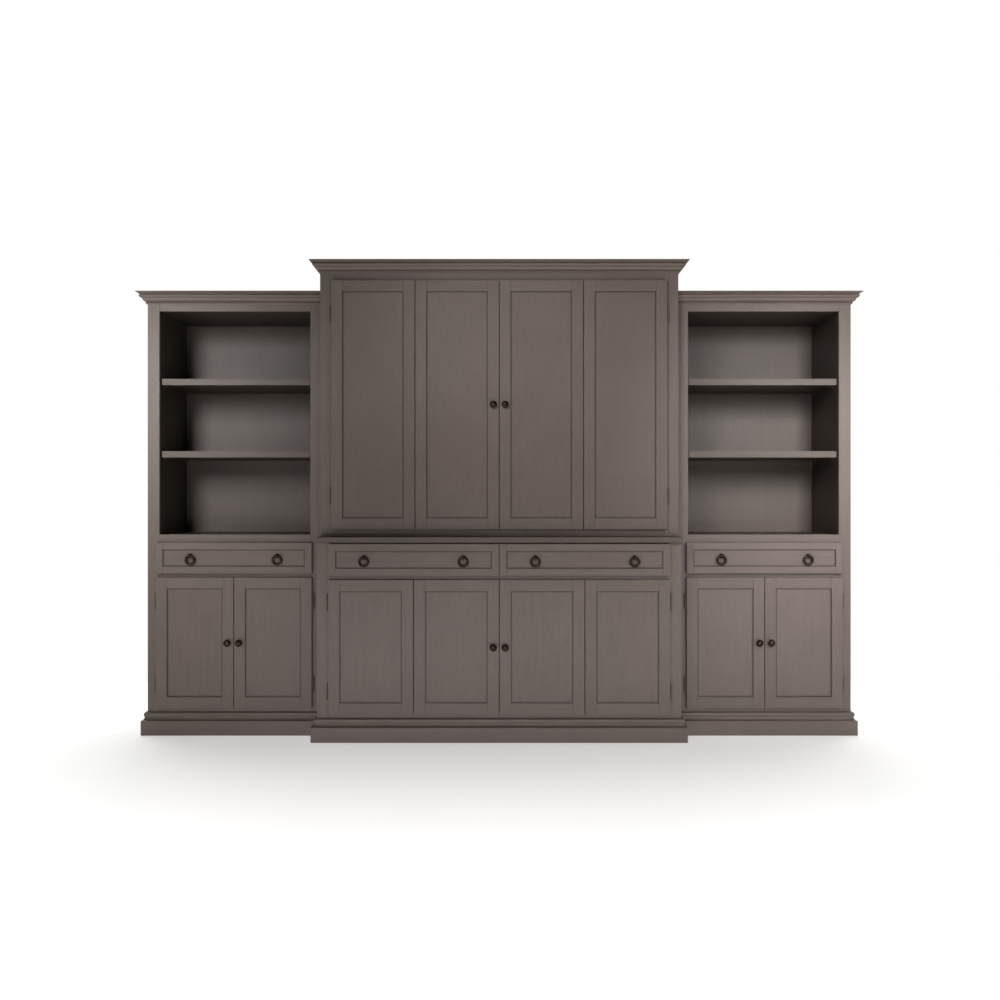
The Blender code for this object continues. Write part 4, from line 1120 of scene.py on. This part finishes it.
# %% Shelf pins
PIN_RADIUS = 2.5 * MM
PIN_INSET = 50 * MM         # from a shelf's front and back edges
PIN_FLAG = 4 * MM           # half the width of the flat part that lies on the wall


def make_shelf_pins(name):
    low, high = box_of(name)
    bay_shelf = "lower_shelf" in name or "upper_shelf" in name
    gap = 5.2 * MM if bay_shelf else 2.7 * MM
    mesh = new_mesh()
    for y in (low[1] + PIN_INSET, high[1] - PIN_INSET):
        for x, way in ((low[0], 1), (high[0], -1)):
            wall = x - way * gap
            add_rod(mesh, (wall, y, low[2] - PIN_RADIUS - 0.2 * MM), (way, 0, 0), gap + 8 * MM,
                    PIN_RADIUS, steps=14)
            add_board(mesh, (wall, y - PIN_FLAG, low[2] - 14 * MM),
                      (wall + way * 1.4 * MM, y + PIN_FLAG, low[2] - 1 * MM), 0, FINE_EASE)
    return finish_piece(name + "_pins", mesh, [HINGE_PAINT], CASE, smooth=40)


for name in sorted(frame["nodes"]):
    if "shelf" in name:
        print("pins:", make_shelf_pins(name).name)


# %% Bumpers, screws and grommets
BUMPER = [(0, 0), (4.0, 0), (4.0, 0.9), (3.2, 1.6), (1.8, 1.85), (0, 1.9)]
BUMPER_INSET = 5 * MM
GROMMET = [(27.0, 0.0), (29.6, 0.0), (29.6, 6.1), (34.0, 6.1), (34.0, 7.2), (33.0, 8.0),
           (27.6, 8.0), (27.0, 7.4), (27.0, 0.0)]
BACK_SCREW = 2.6 * MM
BACK_SCREW_SPACING = 0.22
BACK_SCREW_INSET = (3 * MM, 20 * MM)    # from a back's side edge, and from its ends


def make_bumpers():
    """Four on the frame behind each drawer front and each leaf that hangs on the case."""
    mesh = new_mesh()
    leaves = [leaf_box(name) for name in DOORS if HINGES[name]["parent"] == CASE]
    leaves += [box_of(drawer + "_front") for drawer in DRAWERS]
    for low, high in leaves:
        y = high[1] + DOOR_GAP - 0.05 * MM
        for x in (low[0] + BUMPER_INSET, high[0] - BUMPER_INSET):
            for z in (low[2] + BUMPER_INSET, high[2] - BUMPER_INSET):
                add_turned(mesh, in_mm(BUMPER), (x, y, z), (0, -1, 0), 16)
    return finish_piece("door_bumpers", mesh, [CLEAR_BUMPER], CASE, smooth=40)


def make_back_screws():
    mesh = new_mesh()
    inward, upward = BACK_SCREW_INSET
    for name in ("hutch", "base", "left_bookcase", "right_bookcase"):
        low, high = box_of(name + "_back_panel")
        height = high[2] - low[2]
        count = max(3, round(height / BACK_SCREW_SPACING))
        for x in (low[0] + inward, high[0] - inward):
            for step in range(count + 1):
                z = low[2] + upward + (height - 2 * upward) * step / count
                add_screw_head(mesh, (x, high[1] - 0.55 * MM, z), (0, 1, 0), BACK_SCREW)
    return finish_piece("back_panel_screws", mesh, [ZINC], CASE, smooth=40)


def make_grommets():
    mesh = new_mesh()
    holes = [item["box_m"] for item in frame["record"]["physics"]["openings"]
             if item["name"].endswith("_cable_hole")]
    for low, high in holes:
        x, z = (low[0] + high[0]) / 2, (low[2] + high[2]) / 2
        add_turned(mesh, in_mm(GROMMET), (x, BACK_Y, z), (0, -1, 0), 40)
    return finish_piece("cable_grommets", mesh, [NYLON], CASE, smooth=35)


for fitting in (make_bumpers(), make_back_screws(), make_grommets()):
    print("fittings:", fitting.name)

# %% [markdown]
# ## The end
# The view layer is brought up to date. The dressed model has to stay inside the frame's
# box.

# %% Finish
bpy.context.view_layer.update()
